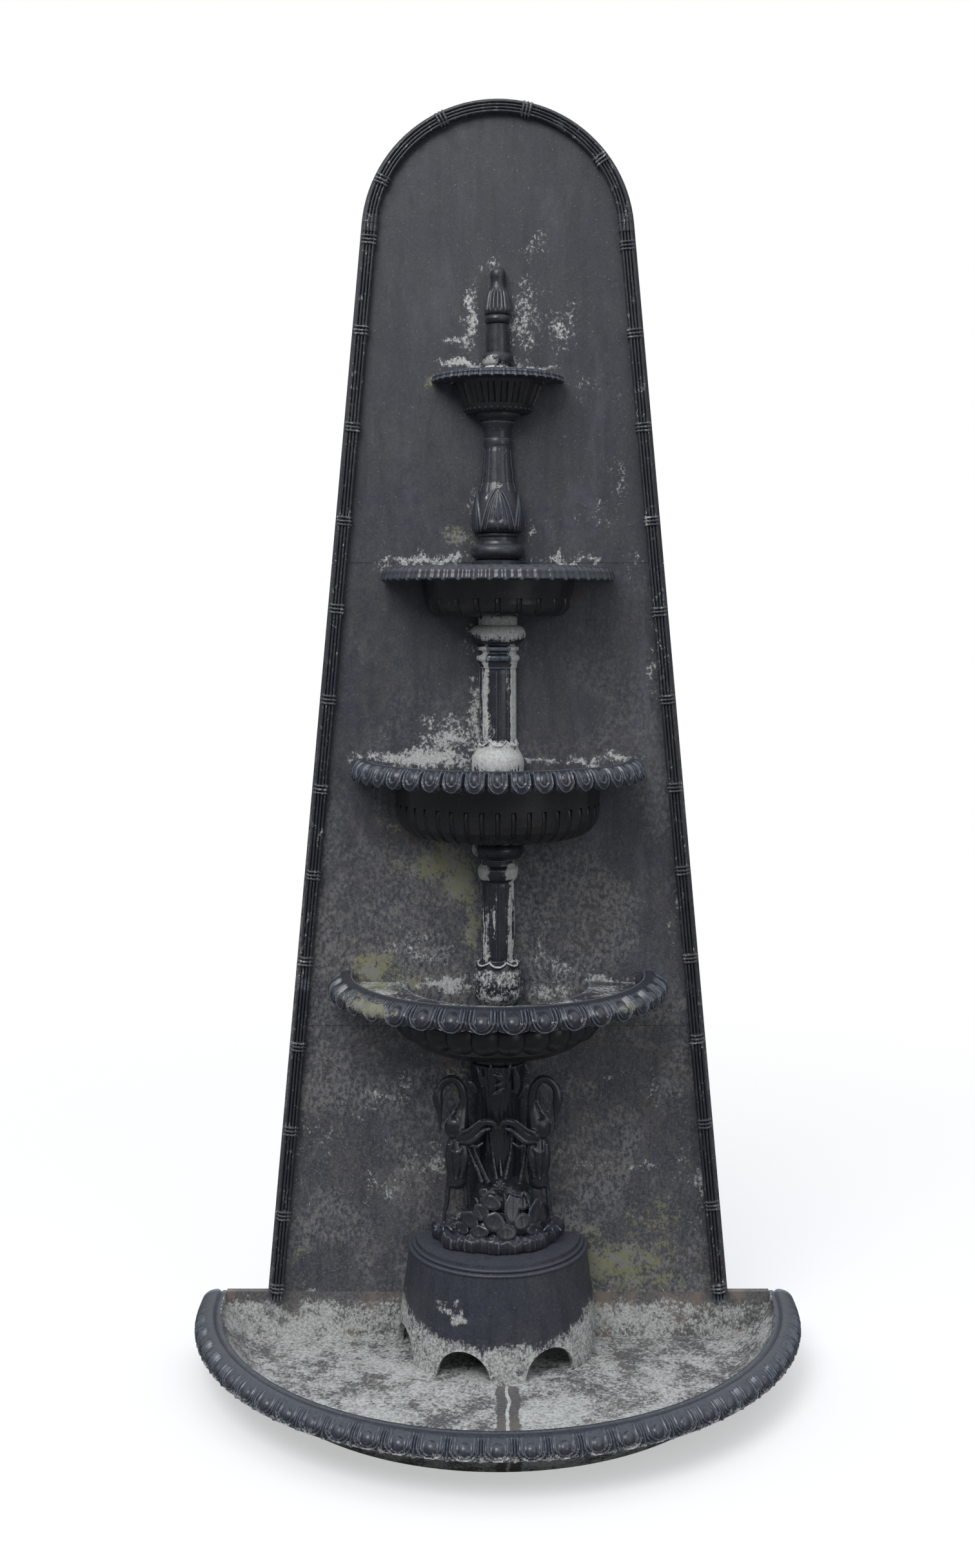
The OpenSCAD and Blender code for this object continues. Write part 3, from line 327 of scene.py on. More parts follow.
def along_points(points, count):
    """count + 1 points spread evenly along a smooth line through points."""
    dense = []
    ends = [points[0]] + list(points) + [points[-1]]
    for i in range(1, len(ends) - 2):
        p0, p1, p2, p3 = (Vector(p) for p in ends[i - 1:i + 3])
        for k in range(8):
            t = k / 8
            dense.append(0.5 * (
                2 * p1 + (p2 - p0) * t + (2 * p0 - 5 * p1 + 4 * p2 - p3) * t * t
                + (3 * p1 - p0 - 3 * p2 + p3) * t ** 3
            ))
    dense.append(Vector(points[-1]))
    lengths = [0.0]
    for a, b in zip(dense, dense[1:]):
        lengths.append(lengths[-1] + (b - a).length)
    spread, j = [], 0
    for i in range(count + 1):
        target = lengths[-1] * i / count
        while j < len(dense) - 2 and lengths[j + 1] < target:
            j += 1
        gap = lengths[j + 1] - lengths[j]
        spread.append(dense[j].lerp(dense[j + 1], (target - lengths[j]) / gap if gap else 0))
    return spread, lengths[-1]


def fade(value, low, high):
    """Rises smoothly from 0 at low to 1 at high."""
    t = min(max((value - low) / (high - low), 0.0), 1.0)
    return t * t * (3 - 2 * t)


def ridge(distance, half_width):
    """Height of a rounded ridge at a distance from its middle line."""
    return max(0.0, 1 - (distance / half_width) ** 2)


# Rims


def bow_line(x, y, half, bow_y, drop, width):
    """A raised line of a U: two legs and a round bottom that ends drop below bow_y."""
    away = abs(x - half) if y < bow_y else abs(math.hypot(x, (y - bow_y) * half / drop) - half)
    return ridge(away, width)


def egg_and_dart(x, y, pitch, length):
    """Relief in mm across one repeat, -pitch/2 to pitch/2, and down its length."""
    x = abs(x)
    shown = fade(y, length * 0.1, length * 0.34)
    bow_y = length * 0.6
    outer = bow_line(x, y, pitch * 0.4, bow_y, length * 0.38, 2.1) * 2.8
    inner = bow_line(x, y, pitch * 0.28, bow_y, length * 0.27, 1.8) * 2.4
    egg = math.hypot(x / (pitch * 0.19), (y - length * 0.62) / (length * 0.28))
    belly = max(0.0, 1 - egg ** 2) ** 0.55 * 4.0
    dart = ridge(pitch / 2 - x, 1.3 + 3.0 * fade(y, length * 0.5, length)) * 2.8
    return shown * (max(outer, inner, belly, dart) - 1.4)


def tongue(x, y, pitch, length):
    """Relief of the basins' petals: a lobe with a curl in it and a groove between lobes."""
    x = abs(x)
    shown = fade(y, length * 0.06, length * 0.26)
    outer = bow_line(x, y, pitch * 0.4, length * 0.6, length * 0.34, 1.6) * 1.7
    curl = bow_line(x, y, pitch * 0.22, length * 0.52, length * 0.24, 1.5) * 2.0
    shell = math.sqrt(max(0.0, 1 - (2 * x / pitch) ** 2)) * 2.6
    groove = ridge(pitch / 2 - x, 2.0) * 2.4
    egg = math.hypot(x / (pitch * 0.13), (y - length * 0.48) / (length * 0.22))
    belly = max(0.0, 1 - egg ** 2) ** 0.6 * 2.0
    return shown * (shell + max(curl, outer, belly) - groove - 1.4)


def fine_eggs(x, y, pitch, length):
    """Relief of the pool's rim: below a smooth band, fine lines of a double U with a small egg, and a dart."""
    x = abs(x)
    shown = fade(y, length * 0.2, length * 0.42)
    outer = bow_line(x, y, pitch * 0.42, length * 0.66, length * 0.32, 1.6) * 2.2
    inner = bow_line(x, y, pitch * 0.3, length * 0.66, length * 0.23, 1.4) * 2.0
    egg = math.hypot(x / (pitch * 0.16), (y - length * 0.68) / (length * 0.21))
    belly = max(0.0, 1 - egg ** 2) ** 0.55 * 3.2
    dart = ridge(pitch / 2 - x, 1.2 + 2.2 * fade(y, length * 0.5, length)) * 2.0
    return shown * (max(outer, inner, belly, dart) - 1.1)


def ruffle(x, y, pitch, length):
    """The fine, shallow flutes of the two small basins."""
    shown = fade(y, length * 0.1, length * 0.4)
    return shown * (0.9 * math.cos(4 * math.pi * x / pitch) + 0.7 * math.cos(2 * math.pi * x / pitch) - 0.6)


def rim(name, parts, eggs, steps, relief, scallop, back_y=0, plain=0.0):
    """A half ring of a moulded section. parts are three outlines in mm, as radius and level, that follow
    each other round the section, each with its count of rows: inside, face with the relief, and underside.
    scallop is how far the lower edge rises between two eggs, back_y how far the ends reach past the panel's
    face, and plain how much the relief dies out at the ends."""
    section, face = [], None
    for outline, rows in parts:
        points, length = along_points(outline, rows)
        if len(section) and face is None:
            face, first, face_rows = length, len(section), rows
        section += points[:-1]
    rows = len(section)
    radius = max(point[0] for point in section)
    pitch = math.pi * radius / eggs
    ends = 2
    columns = eggs * steps + 2 * ends
    strength = looks().egg_relief

    def place(column, row):
        turn = min(max(column - ends, 0), eggs * steps)
        angle = math.pi * (turn / (eggs * steps) - 0.5)
        back = max(ends - column, column - ends - eggs * steps, 0) / ends
        spot = section[row % rows]
        run = (section[(row + 1) % rows] - section[(row - 1) % rows]).normalized()
        x = (turn / steps % 1 - 0.5) * pitch
        y = (row % rows - first) / face_rows * face
        edge = 1 - plain * (1 - fade(math.pi / 2 - abs(angle), 0.0, 0.22))
        if 0 <= y <= face:
            spot = spot + Vector((-run.y, run.x)) * relief(x, y, pitch, face) * strength * edge
        cusp = 1 - math.sqrt(max(0.0, 1 - (2 * abs(x) / pitch) ** 2))
        near = math.exp(-((y - face) / (face * 0.3)) ** 2)
        spot = spot + Vector((-0.35, 1)) * scallop * cusp * near * edge
        out = AXIS_OUT - back * (AXIS_OUT + back_y)
        inside = row % rows < first - 5
        return out_spot(spot.x * math.sin(angle), out + spot.x * math.cos(angle), spot.y), float(inside)

    return formed(name, columns, rows, place)


# Columns, with radius and level in mm


COLUMN_1 = [
    (30, 1345), (38, 1346.5), (42, 1352), (43.2, 1361), (42.4, 1375), (39.8, 1390), (35.6, 1405), (31, 1417),
    (28.4, 1425), (27, 1432), (22, 1482), (22.2, 1487), (23.6, 1490), (23.8, 1495), (23, 1500), (22, 1502),
    (23.5, 1515), (28, 1526), (27.6, 1529), (33, 1534), (36, 1538), (36, 1541),
]
COLUMN_2 = [
    (43, 856), (43, 950), (43.4, 962), (42, 974), (37, 984), (34, 990), (33.4, 996), (30, 1001), (29.5, 1008),
    (29.5, 1060), (29.5, 1118), (31, 1122), (32.4, 1132), (35.5, 1136), (35.5, 1142), (31, 1146), (31, 1150),
    (34.4, 1152), (34.4, 1157), (28.5, 1159), (28.5, 1162),
]
COLUMN_3 = [
    (40, 505), (40, 517), (34, 521), (31, 560), (31, 570), (35, 575), (39.6, 584), (41, 596), (40, 611), (36.6, 624),
    (35, 632), (33, 638), (29, 641), (27, 648), (27, 700), (27, 765), (28, 772), (31, 777), (33, 784), (33, 792),
    (29, 796), (27, 800), (27, 808),
]
BUD = [
    (15, 1705), (19.4, 1705.6), (22.4, 1709), (22.6, 1714), (21.6, 1720), (19.6, 1731), (16.6, 1742), (13, 1750),
    (11.8, 1757), (11.8, 1762), (12.7, 1770), (11.8, 1777), (8, 1782), (3, 1783.8),
]


def reeding(angle, z, radius, low, high):
    """Narrow grooves between broad reeds."""
    gap = math.radians(30)
    away = abs((angle + gap / 2) % gap - gap / 2) * radius
    return (1.1 - 2.6 * ridge(away, 2.0)) * fade(z, low, low + 8) * (1 - fade(z, high - 8, high))


def swag(angle):
    """Rises and falls once for each of the crescents round a foot."""
    return math.sin(math.pi * ((math.degrees(angle) / 52 + 0.5) % 1))


def scallops(angle, z, level, drop):
    """A row of hanging crescents round the foot of a shaft."""
    return 3.2 * ridge(z - level + drop * swag(angle), 3.0)


def pointed_leaf(across, z, half, foot, tip):
    """A leaf like a pointed arch: a double outline round a body with veins that fan out."""
    share = (tip - z) / (tip - foot)
    if not 0 < share < 1.1:
        return 0.0
    across = abs(across)
    wide = half * share ** 0.58
    lines = max(3.4 * ridge(across - wide, 2.0), 2.8 * ridge(across - wide * 0.7 + 1, 1.6) * fade(share, 0.08, 0.2))
    veins = 1.3 * max(ridge(across, 1.2), ridge(across - wide * 0.34, 1.2)) * fade(share, 0.1, 0.4)
    body = 0.6 if across < wide else 0.0
    return max(lines, body + veins)


def column_1_relief(angle, z, radius):
    """A pointed leaf over two round lobes, leaves at the sides, and reeds above."""
    across = angle * radius
    leaf = pointed_leaf(across, z, 27, 1356, 1417)
    for side in (-1, 1):
        leaf = max(leaf, 0.6 * pointed_leaf(across - side * 50, z, 20, 1352, 1420))
        away = math.hypot(across - side * 9.5, z - 1357) / 9
        leaf = max(leaf, 3.6 * math.sqrt(max(0.0, 1 - away ** 2)))
    return max(leaf, reeding(angle, z, radius, 1408, 1486))


def column_2_relief(angle, z, radius):
    """Crescents round the foot and reeds above."""
    return max(scallops(angle, z, 1004, 8), reeding(angle, z, radius, 1002, 1122))


def column_3_relief(angle, z, radius):
    """The same over a lobed bulb."""
    lobes = (2.4 * swag(angle) ** 0.5 - 1.0) * fade(z, 572, 584) * (1 - fade(z, 618, 630))
    return max(scallops(angle, z, 642, 7), reeding(angle, z, radius, 642, 772)) + lobes


def bud_relief(angle, z, radius):
    """Upright ribs on the bell of the bud."""
    rib_highlight = 2.4 * (abs(math.cos(angle * 9)) - 0.6)
    return rib_highlight * fade(z, 1709, 1714) * (1 - fade(z, 1738, 1750))


def turned_casting(name, outline, rows, around, relief):
    """A half-turned casting that reaches back to the panel. relief(angle, z, radius) is raised on it."""
    section, _ = along_points(outline, rows)
    columns = around + 3

    def place(column, row):
        turn = column % columns
        radius, z = section[row]
        angle = math.pi * (min(turn, around) / around - 0.5)
        if turn <= around:
            raised = relief(angle, z, radius)
            radius += raised
            spot = out_spot(radius * math.sin(angle), AXIS_OUT + radius * math.cos(angle), z)
            return spot, fade(raised, 1.9, 2.8)
        return out_spot(radius if turn == around + 1 else -radius, 0.2, z), 0.0

    return formed(name, columns, rows, place)


class FOUNTAIN_OT_columns(bpy.types.Operator):
    """Columns and finial bud with their leaves and reeds"""

    bl_idname = "fountain.columns"
    bl_label = "Columns"

    def execute(self, context):
        for name, node, outline, rows, around, relief, finish in (
            ("column_1", "column_1_shaft", COLUMN_1, 200, 160, column_1_relief, "carved"),
            ("column_2", "column_2_shaft", COLUMN_2, 150, 112, column_2_relief, "shaft"),
            ("column_3", "column_3_shaft", COLUMN_3, 190, 112, column_3_relief, "shaft"),
            ("bud", "finial_bud", BUD, 90, 112, bud_relief, "carved"),
        ):
            piece = turned_casting(f"{name}_casting", outline, rows, around, relief)
            hand_over(piece, [node], MATERIALS[finish], degrees=60, worn_and_highlight=4.4)
        return {"FINISHED"}


# Border, with levels and distances in mm


BAR_R, BAR_HALF = 211.5, 10.5
ARCH_Z = 1839
SIDE_LEAN = math.radians(5)
ARCH_TIES = [36, 77, 116, 155]
LEFT_TIES = [1830, 1680, 1520, 1365, 1220, 1070, 922, 780, 638, 497, 358, 218, 98]
RIGHT_TIES = [1820, 1675, 1520, 1365, 1215, 1070, 925, 788, 643, 510, 370, 235, 98]
BAR_TOP = ARCH_Z + BAR_R * math.sin(SIDE_LEAN)


def bar_section():
    """Points round the bar as side, out from the panel, and out where a binding covers the reeds."""
    reeds, steps = 4, 6
    section = [(-BAR_HALF, 0, 0), (-BAR_HALF, 6, 7)]
    for i in range(reeds * steps + 1):
        side = BAR_HALF * (2 * i / (reeds * steps) - 1)
        round_top = math.sqrt(max(0.0, 1 - (2 * (i / steps % 1) - 1) ** 2))
        section.append((side, 10.8 + 4.8 * round_top, 18.2 - 3.4 * (side / BAR_HALF) ** 2))
    return section + [(BAR_HALF, 6, 7), (BAR_HALF, 0, 0)]


def bar(name, node, line, low, high, ties, cuffs=()):
    """A reeded bar with its bindings, each three ribs. line(distance) gives the bar's middle and its
    outer side, as across and up."""
    count = math.ceil((high - low) / 14)
    stops = [low + (high - low) * i / count for i in range(count + 1)]
    for middle in list(ties) + list(cuffs):
        stops += [middle + 0.6 * k for k in range(-17, 18) if low + 0.2 < middle + 0.6 * k < high - 0.2]
    stops = sorted(stops)
    stops = [low] + [b for a, b in zip(stops, stops[1:]) if b - a > 0.15]
    section = bar_section()

    def swell_at(distance):
        swell = 0.0
        for tie in ties:
            for rib in (-6, 0, 6):
                swell = max(swell, math.sqrt(ridge(distance - tie - rib, 2.6)))
        for cuff in cuffs:
            swell = max(swell, 0.6 * (1 - fade(abs(distance - cuff), 7, 8.2)))
        return swell

    def place(column, row):
        side, out, covered = section[column % len(section)]
        middle, outward = line(stops[row])
        swell = swell_at(stops[row])
        spot = middle + outward * side * (1 + 0.2 * swell)
        # The swell also marks the bindings for painting paler, a painted highlight
        return out_spot(spot.x, out + (covered - out) * swell, spot.y), swell

    piece = formed(name, len(section), len(stops) - 1, place)
    hand_over(piece, [node], MATERIALS["border"], degrees=50, worn_and_highlight=1.6)


class FOUNTAIN_OT_border(bpy.types.Operator):
    """Reeded border with its ribbon bindings"""

    bl_idname = "fountain.border"
    bl_label = "Border"

    def execute(self, context):
        def arch_line(distance):
            angle = distance / BAR_R
            outward = Vector((math.cos(angle), math.sin(angle)))
            return Vector((0, ARCH_Z)) + outward * BAR_R, outward

        def side_line(side):
            sine, cosine = math.sin(SIDE_LEAN), math.cos(SIDE_LEAN)

            def line(distance):
                across = BAR_R * cosine + distance * sine
                return Vector((side * across, BAR_TOP - distance * cosine)), Vector((side * cosine, sine))

            return line

        def down(level):
            return (BAR_TOP - level) / math.cos(SIDE_LEAN)

        ends = [BAR_R * SIDE_LEAN + 0.6, BAR_R * (math.pi - SIDE_LEAN) - 0.6]
        bar("border_arch_bar", "border_arch", arch_line, *ends, [BAR_R * math.radians(a) for a in ARCH_TIES],
            [ends[0] + 6, ends[1] - 6])
        for word, side, joint, levels in (("left", -1, 601, LEFT_TIES), ("right", 1, 513, RIGHT_TIES)):
            ties = [down(level) for level in levels]
            bar(f"border_{word}_upper_bar", f"border_{word}_upper", side_line(side), 0.2, down(joint + 0.4), ties, [7])
            bar(f"border_{word}_lower_bar", f"border_{word}_lower", side_line(side), down(joint - 0.4), down(79), ties)
        return {"FINISHED"}


# Stage


class FOUNTAIN_OT_stage(bpy.types.Operator):
    """Floor, light and camera"""

    bl_idname = "fountain.stage"
    bl_label = "Stage"

    def execute(self, context):
        deselect()
        bpy.ops.mesh.primitive_plane_add(size=60, location=(0, 0, -0.5 * MM))
        floor = named("studio_floor")
        floor.data.materials.append(floor_material())
        world = bpy.data.worlds.new("studio_world")
        context.scene.world = world
        world.use_nodes = True
        sheet = Wiring(world.node_tree, clear=True)
        path = sheet.put("ShaderNodeLightPath").outputs
        towards = sheet.put("ShaderNodeNewGeometry").outputs["Incoming"]
        down = sheet.axis(towards, "Z")
        sky = sheet.step(down, 0.1, -0.85, 0.1, 1.15)
        soft = sheet.put("ShaderNodeBackground", {"Color": (0.9, 0.95, 1, 1), "Strength": sky}).outputs[0]
        white = sheet.put("ShaderNodeBackground", {"Color": (1, 1, 1, 1), "Strength": 1.0}).outputs[0]
        mixed = sheet.put("ShaderNodeMixShader", {0: path["Is Camera Ray"], 1: soft, 2: white}).outputs[0]
        sheet.put("ShaderNodeOutputWorld", {"Surface": mixed})
        self.lamp("key_light", (-1.3, -2.6, 3.9), (0, 0.15, 0.9), 2.6, 105)
        self.lamp("fill_light", (2.4, -2.9, 1.7), (0, 0.15, 0.9), 2.4, 18)
        camera = bpy.data.cameras.new("photo_camera")
        camera.lens = looks().lens
        camera.sensor_width = 36
        camera.shift_x, camera.shift_y = CAMERA_SHIFT
        rig = bpy.data.objects.new("photo_camera", camera)
        rig.location = (0, PANEL_Y - CAMERA_OUT, CAMERA_UP)
        rig.rotation_euler = (math.radians(90), 0, 0)
        context.scene.collection.objects.link(rig)
        context.scene.camera = rig
        context.scene.view_settings.view_transform = "Standard"
        return {"FINISHED"}

    def lamp(self, name, spot, aim, size, power):
        light = bpy.data.lights.new(name, "AREA")
        light.shape = "DISK"
        light.size = size
        light.energy = power
        rig = bpy.data.objects.new(name, light)
        rig.location = spot
        rig.rotation_euler = (Vector(aim) - Vector(spot)).to_track_quat("-Z", "Y").to_euler()
        bpy.context.scene.collection.objects.link(rig)


# Materials


class Wiring:
    """A node tree being wired: each method adds a node and gives back its output."""

    def __init__(self, tree, clear=False):
        self.tree = tree
        if clear:
            tree.nodes.clear()

    def put(self, kind, inputs=(), **settings):
        node = self.tree.nodes.new(kind)
        for name, value in settings.items():
            setattr(node, name, value)
        for socket, value in dict(inputs).items():
            if isinstance(value, bpy.types.NodeSocket):
                self.tree.links.new(value, node.inputs[socket])
            else:
                node.inputs[socket].default_value = value
        return node

    def math(self, operation, a, b=0.0, clamp=False):
        return self.put("ShaderNodeMath", {0: a, 1: b}, operation=operation, use_clamp=clamp).outputs[0]

    def times(self, *factors):
        return self.folded("MULTIPLY", factors)

    def plus(self, *terms):
        return self.folded("ADD", terms)

    def largest(self, *values):
        return self.folded("MAXIMUM", values)

    def folded(self, operation, values):
        total = values[0]
        for value in values[1:]:
            total = self.math(operation, total, value)
        return total

    def axis(self, vector, letter):
        return self.put("ShaderNodeSeparateXYZ", {0: vector}).outputs[letter]

    def away(self, value, middle):
        return self.math("ABSOLUTE", self.math("SUBTRACT", value, middle))

    def painted(self, name):
        """The value that an attribute of the mesh gives."""
        return self.put("ShaderNodeAttribute", attribute_name=name).outputs["Fac"]

    def vector(self, operation, a, b=(0, 0, 0)):
        node = self.put("ShaderNodeVectorMath", {0: a, 1: b}, operation=operation)
        return node.outputs["Value" if operation == "LENGTH" else "Vector"]

    def step(self, value, low, high, bottom=0.0, top=1.0):
        """Rises smoothly from bottom to top as value goes from low to high."""
        return self.put("ShaderNodeMapRange", {
            "Value": value, "From Min": low, "From Max": high, "To Min": bottom, "To Max": top
        }, interpolation_type="SMOOTHSTEP").outputs["Result"]

    def noise(self, place, scale, detail=4.0, rough=0.55, stretch=None, bend=0.0):
        if stretch:
            place = self.vector("MULTIPLY", place, stretch)
        return self.put("ShaderNodeTexNoise", {
            "Vector": place, "Scale": scale, "Detail": detail, "Roughness": rough, "Distortion": bend
        }).outputs["Fac"]

    def blend(self, factor, a, b, kind="MIX"):
        node = self.put("ShaderNodeMix", {0: factor, 6: a, 7: b}, data_type="RGBA", blend_type=kind)
        return node.outputs[2]

    def place(self):
        return self.put("ShaderNodeTexCoord").outputs["Object"]


def group(name, inputs, outputs):
    """A new shader group: its wiring, its inputs by name and a call that sets its outputs."""
    tree = bpy.data.node_groups.new(name, "ShaderNodeTree")
    kinds = {"v": "NodeSocketVector", "f": "NodeSocketFloat", "c": "NodeSocketColor"}
    for label, kind in inputs:
        tree.interface.new_socket(label, in_out="INPUT", socket_type=kinds[kind])
    for label, kind in outputs:
        tree.interface.new_socket(label, in_out="OUTPUT", socket_type=kinds[kind])
    sheet = Wiring(tree)
    given = sheet.put("NodeGroupInput").outputs
    wanted = sheet.put("NodeGroupOutput").inputs

    def deliver(label, socket):
        tree.links.new(socket, wanted[label])

    return sheet, given, deliver


def use(sheet, name, inputs):
    """Places a group, building it the first time."""
    tree = bpy.data.node_groups.get(name) or GROUPS[name](name)
    return sheet.put("ShaderNodeGroup", inputs, node_tree=tree).outputs


def mottle_group(name):
    """Uneven, dirty paint: broad clouds, fine blotches, vertical streaks and pale specks."""
    sheet, given, deliver = group(name, [("Place", "v")], [
        ("Clouds", "f"), ("Blotches", "f"), ("Streaks", "f"), ("Specks", "f"), ("Grain", "f")
    ])
    place = given["Place"]
    deliver("Clouds", sheet.step(sheet.noise(place, 9, 6, 0.66, bend=0.3), 0.42, 0.6))
    deliver("Blotches", sheet.step(sheet.noise(place, 46, 6, 0.7), 0.4, 0.62))
    deliver("Streaks", sheet.step(sheet.noise(place, 11, 6, 0.62, (5, 5, 0.8)), 0.44, 0.66))
    small = sheet.step(sheet.noise(place, 420, 2, 0.5), 0.7, 0.76)
    large = sheet.step(sheet.noise(place, 150, 4, 0.7, (1, 1, 0.6)), 0.69, 0.74)
    deliver("Specks", sheet.largest(small, large))
    deliver("Grain", sheet.noise(place, 230, 4, 0.66))
    return sheet.tree


def crust_group(name):
    """Turns a coverage from 0 to 1 into limescale: scattered dots where it is thin, a broken coat
    where it is thick."""
    sheet, given, deliver = group(name, [("Place", "v"), ("Coverage", "f")], [("Mask", "f"), ("Height", "f")])
    coarse = sheet.noise(given["Place"], 34, 5, 0.68)
    fine = sheet.noise(given["Place"], 210, 5, 0.78, (1, 1, 0.8))
    rough = sheet.plus(sheet.times(coarse, 0.55), sheet.times(fine, 0.95))
    level = sheet.plus(sheet.times(given["Coverage"], 0.44), sheet.math("SUBTRACT", rough, 1.02))
    deliver("Mask", sheet.step(level, -0.03, 0.12))
    deliver("Height", sheet.times(sheet.step(level, -0.03, 0.24), fine))
    return sheet.tree


def spot_group(name):
    """A soft oval in the upright plane, 1 in its middle and 0 at its edge."""
    sheet, given, deliver = group(name, [("Place", "v"), ("Centre", "v"), ("Reach", "v")], [("Mask", "f")])
    away = sheet.vector("DIVIDE", sheet.vector("SUBTRACT", given["Place"], given["Centre"]), given["Reach"])
    deliver("Mask", sheet.math("SUBTRACT", 1.0, sheet.vector("LENGTH", away), clamp=True))
    return sheet.tree


GROUPS = {"fountain_mottle": mottle_group, "fountain_crust": crust_group, "fountain_spot": spot_group}


def spots(sheet, place, rows):
    """The largest of several soft ovals, each as x, z, half width, half height in mm and strength. They
    fade out from 12 to 20 mm behind the panel's face. The panel's back lies at 12 mm, so they still show on it."""
    masks = []
    for x, z, wide, high, strength in rows:
        mask = use(sheet, "fountain_spot", {
            "Place": place, "Centre": (x * MM, 0, z * MM), "Reach": (wide * MM, 1000, high * MM)
        })["Mask"]
        masks.append(sheet.times(sheet.math("POWER", mask, 0.6), strength))
    front = sheet.step(sheet.axis(place, "Y"), PANEL_Y + 20 * MM, PANEL_Y + 12 * MM)
    return sheet.times(sheet.largest(*masks), front)


def surface(name, gloss=0.5):
    """A material with its wiring and Principled shader."""
    material = bpy.data.materials.new(name)
    material.use_nodes = True
    sheet = Wiring(material.node_tree, clear=True)
    shader = sheet.put("ShaderNodeBsdfPrincipled", {"Roughness": gloss})
    sheet.put("ShaderNodeOutputMaterial", {"Surface": shader.outputs[0]})
    return material, sheet, shader


def floor_material():
    """Pale floor that runs out to white for the camera, and bounces less light than it shows."""
    material, sheet, shader = surface("studio_floor", 0.9)
    output = material.node_tree.nodes["Material Output"]
    path = sheet.put("ShaderNodeLightPath").outputs["Is Camera Ray"]
    bounce = sheet.blend(path, FLOOR_BOUNCE, FLOOR_SHOWN)
    sheet.tree.links.new(bounce, shader.inputs["Base Color"])
    spread = sheet.vector("LENGTH", sheet.place())
    far = sheet.step(spread, 0.5, 2.8, 0.45, 1.0)
    glow = sheet.put("ShaderNodeEmission", {"Color": (1, 1, 1, 1), "Strength": 1.0}).outputs[0]
    share = sheet.times(far, path)
    mixed = sheet.put("ShaderNodeMixShader", {0: share, 1: shader.outputs[0], 2: glow}).outputs[0]
    sheet.tree.links.new(mixed, output.inputs["Surface"])
    return material


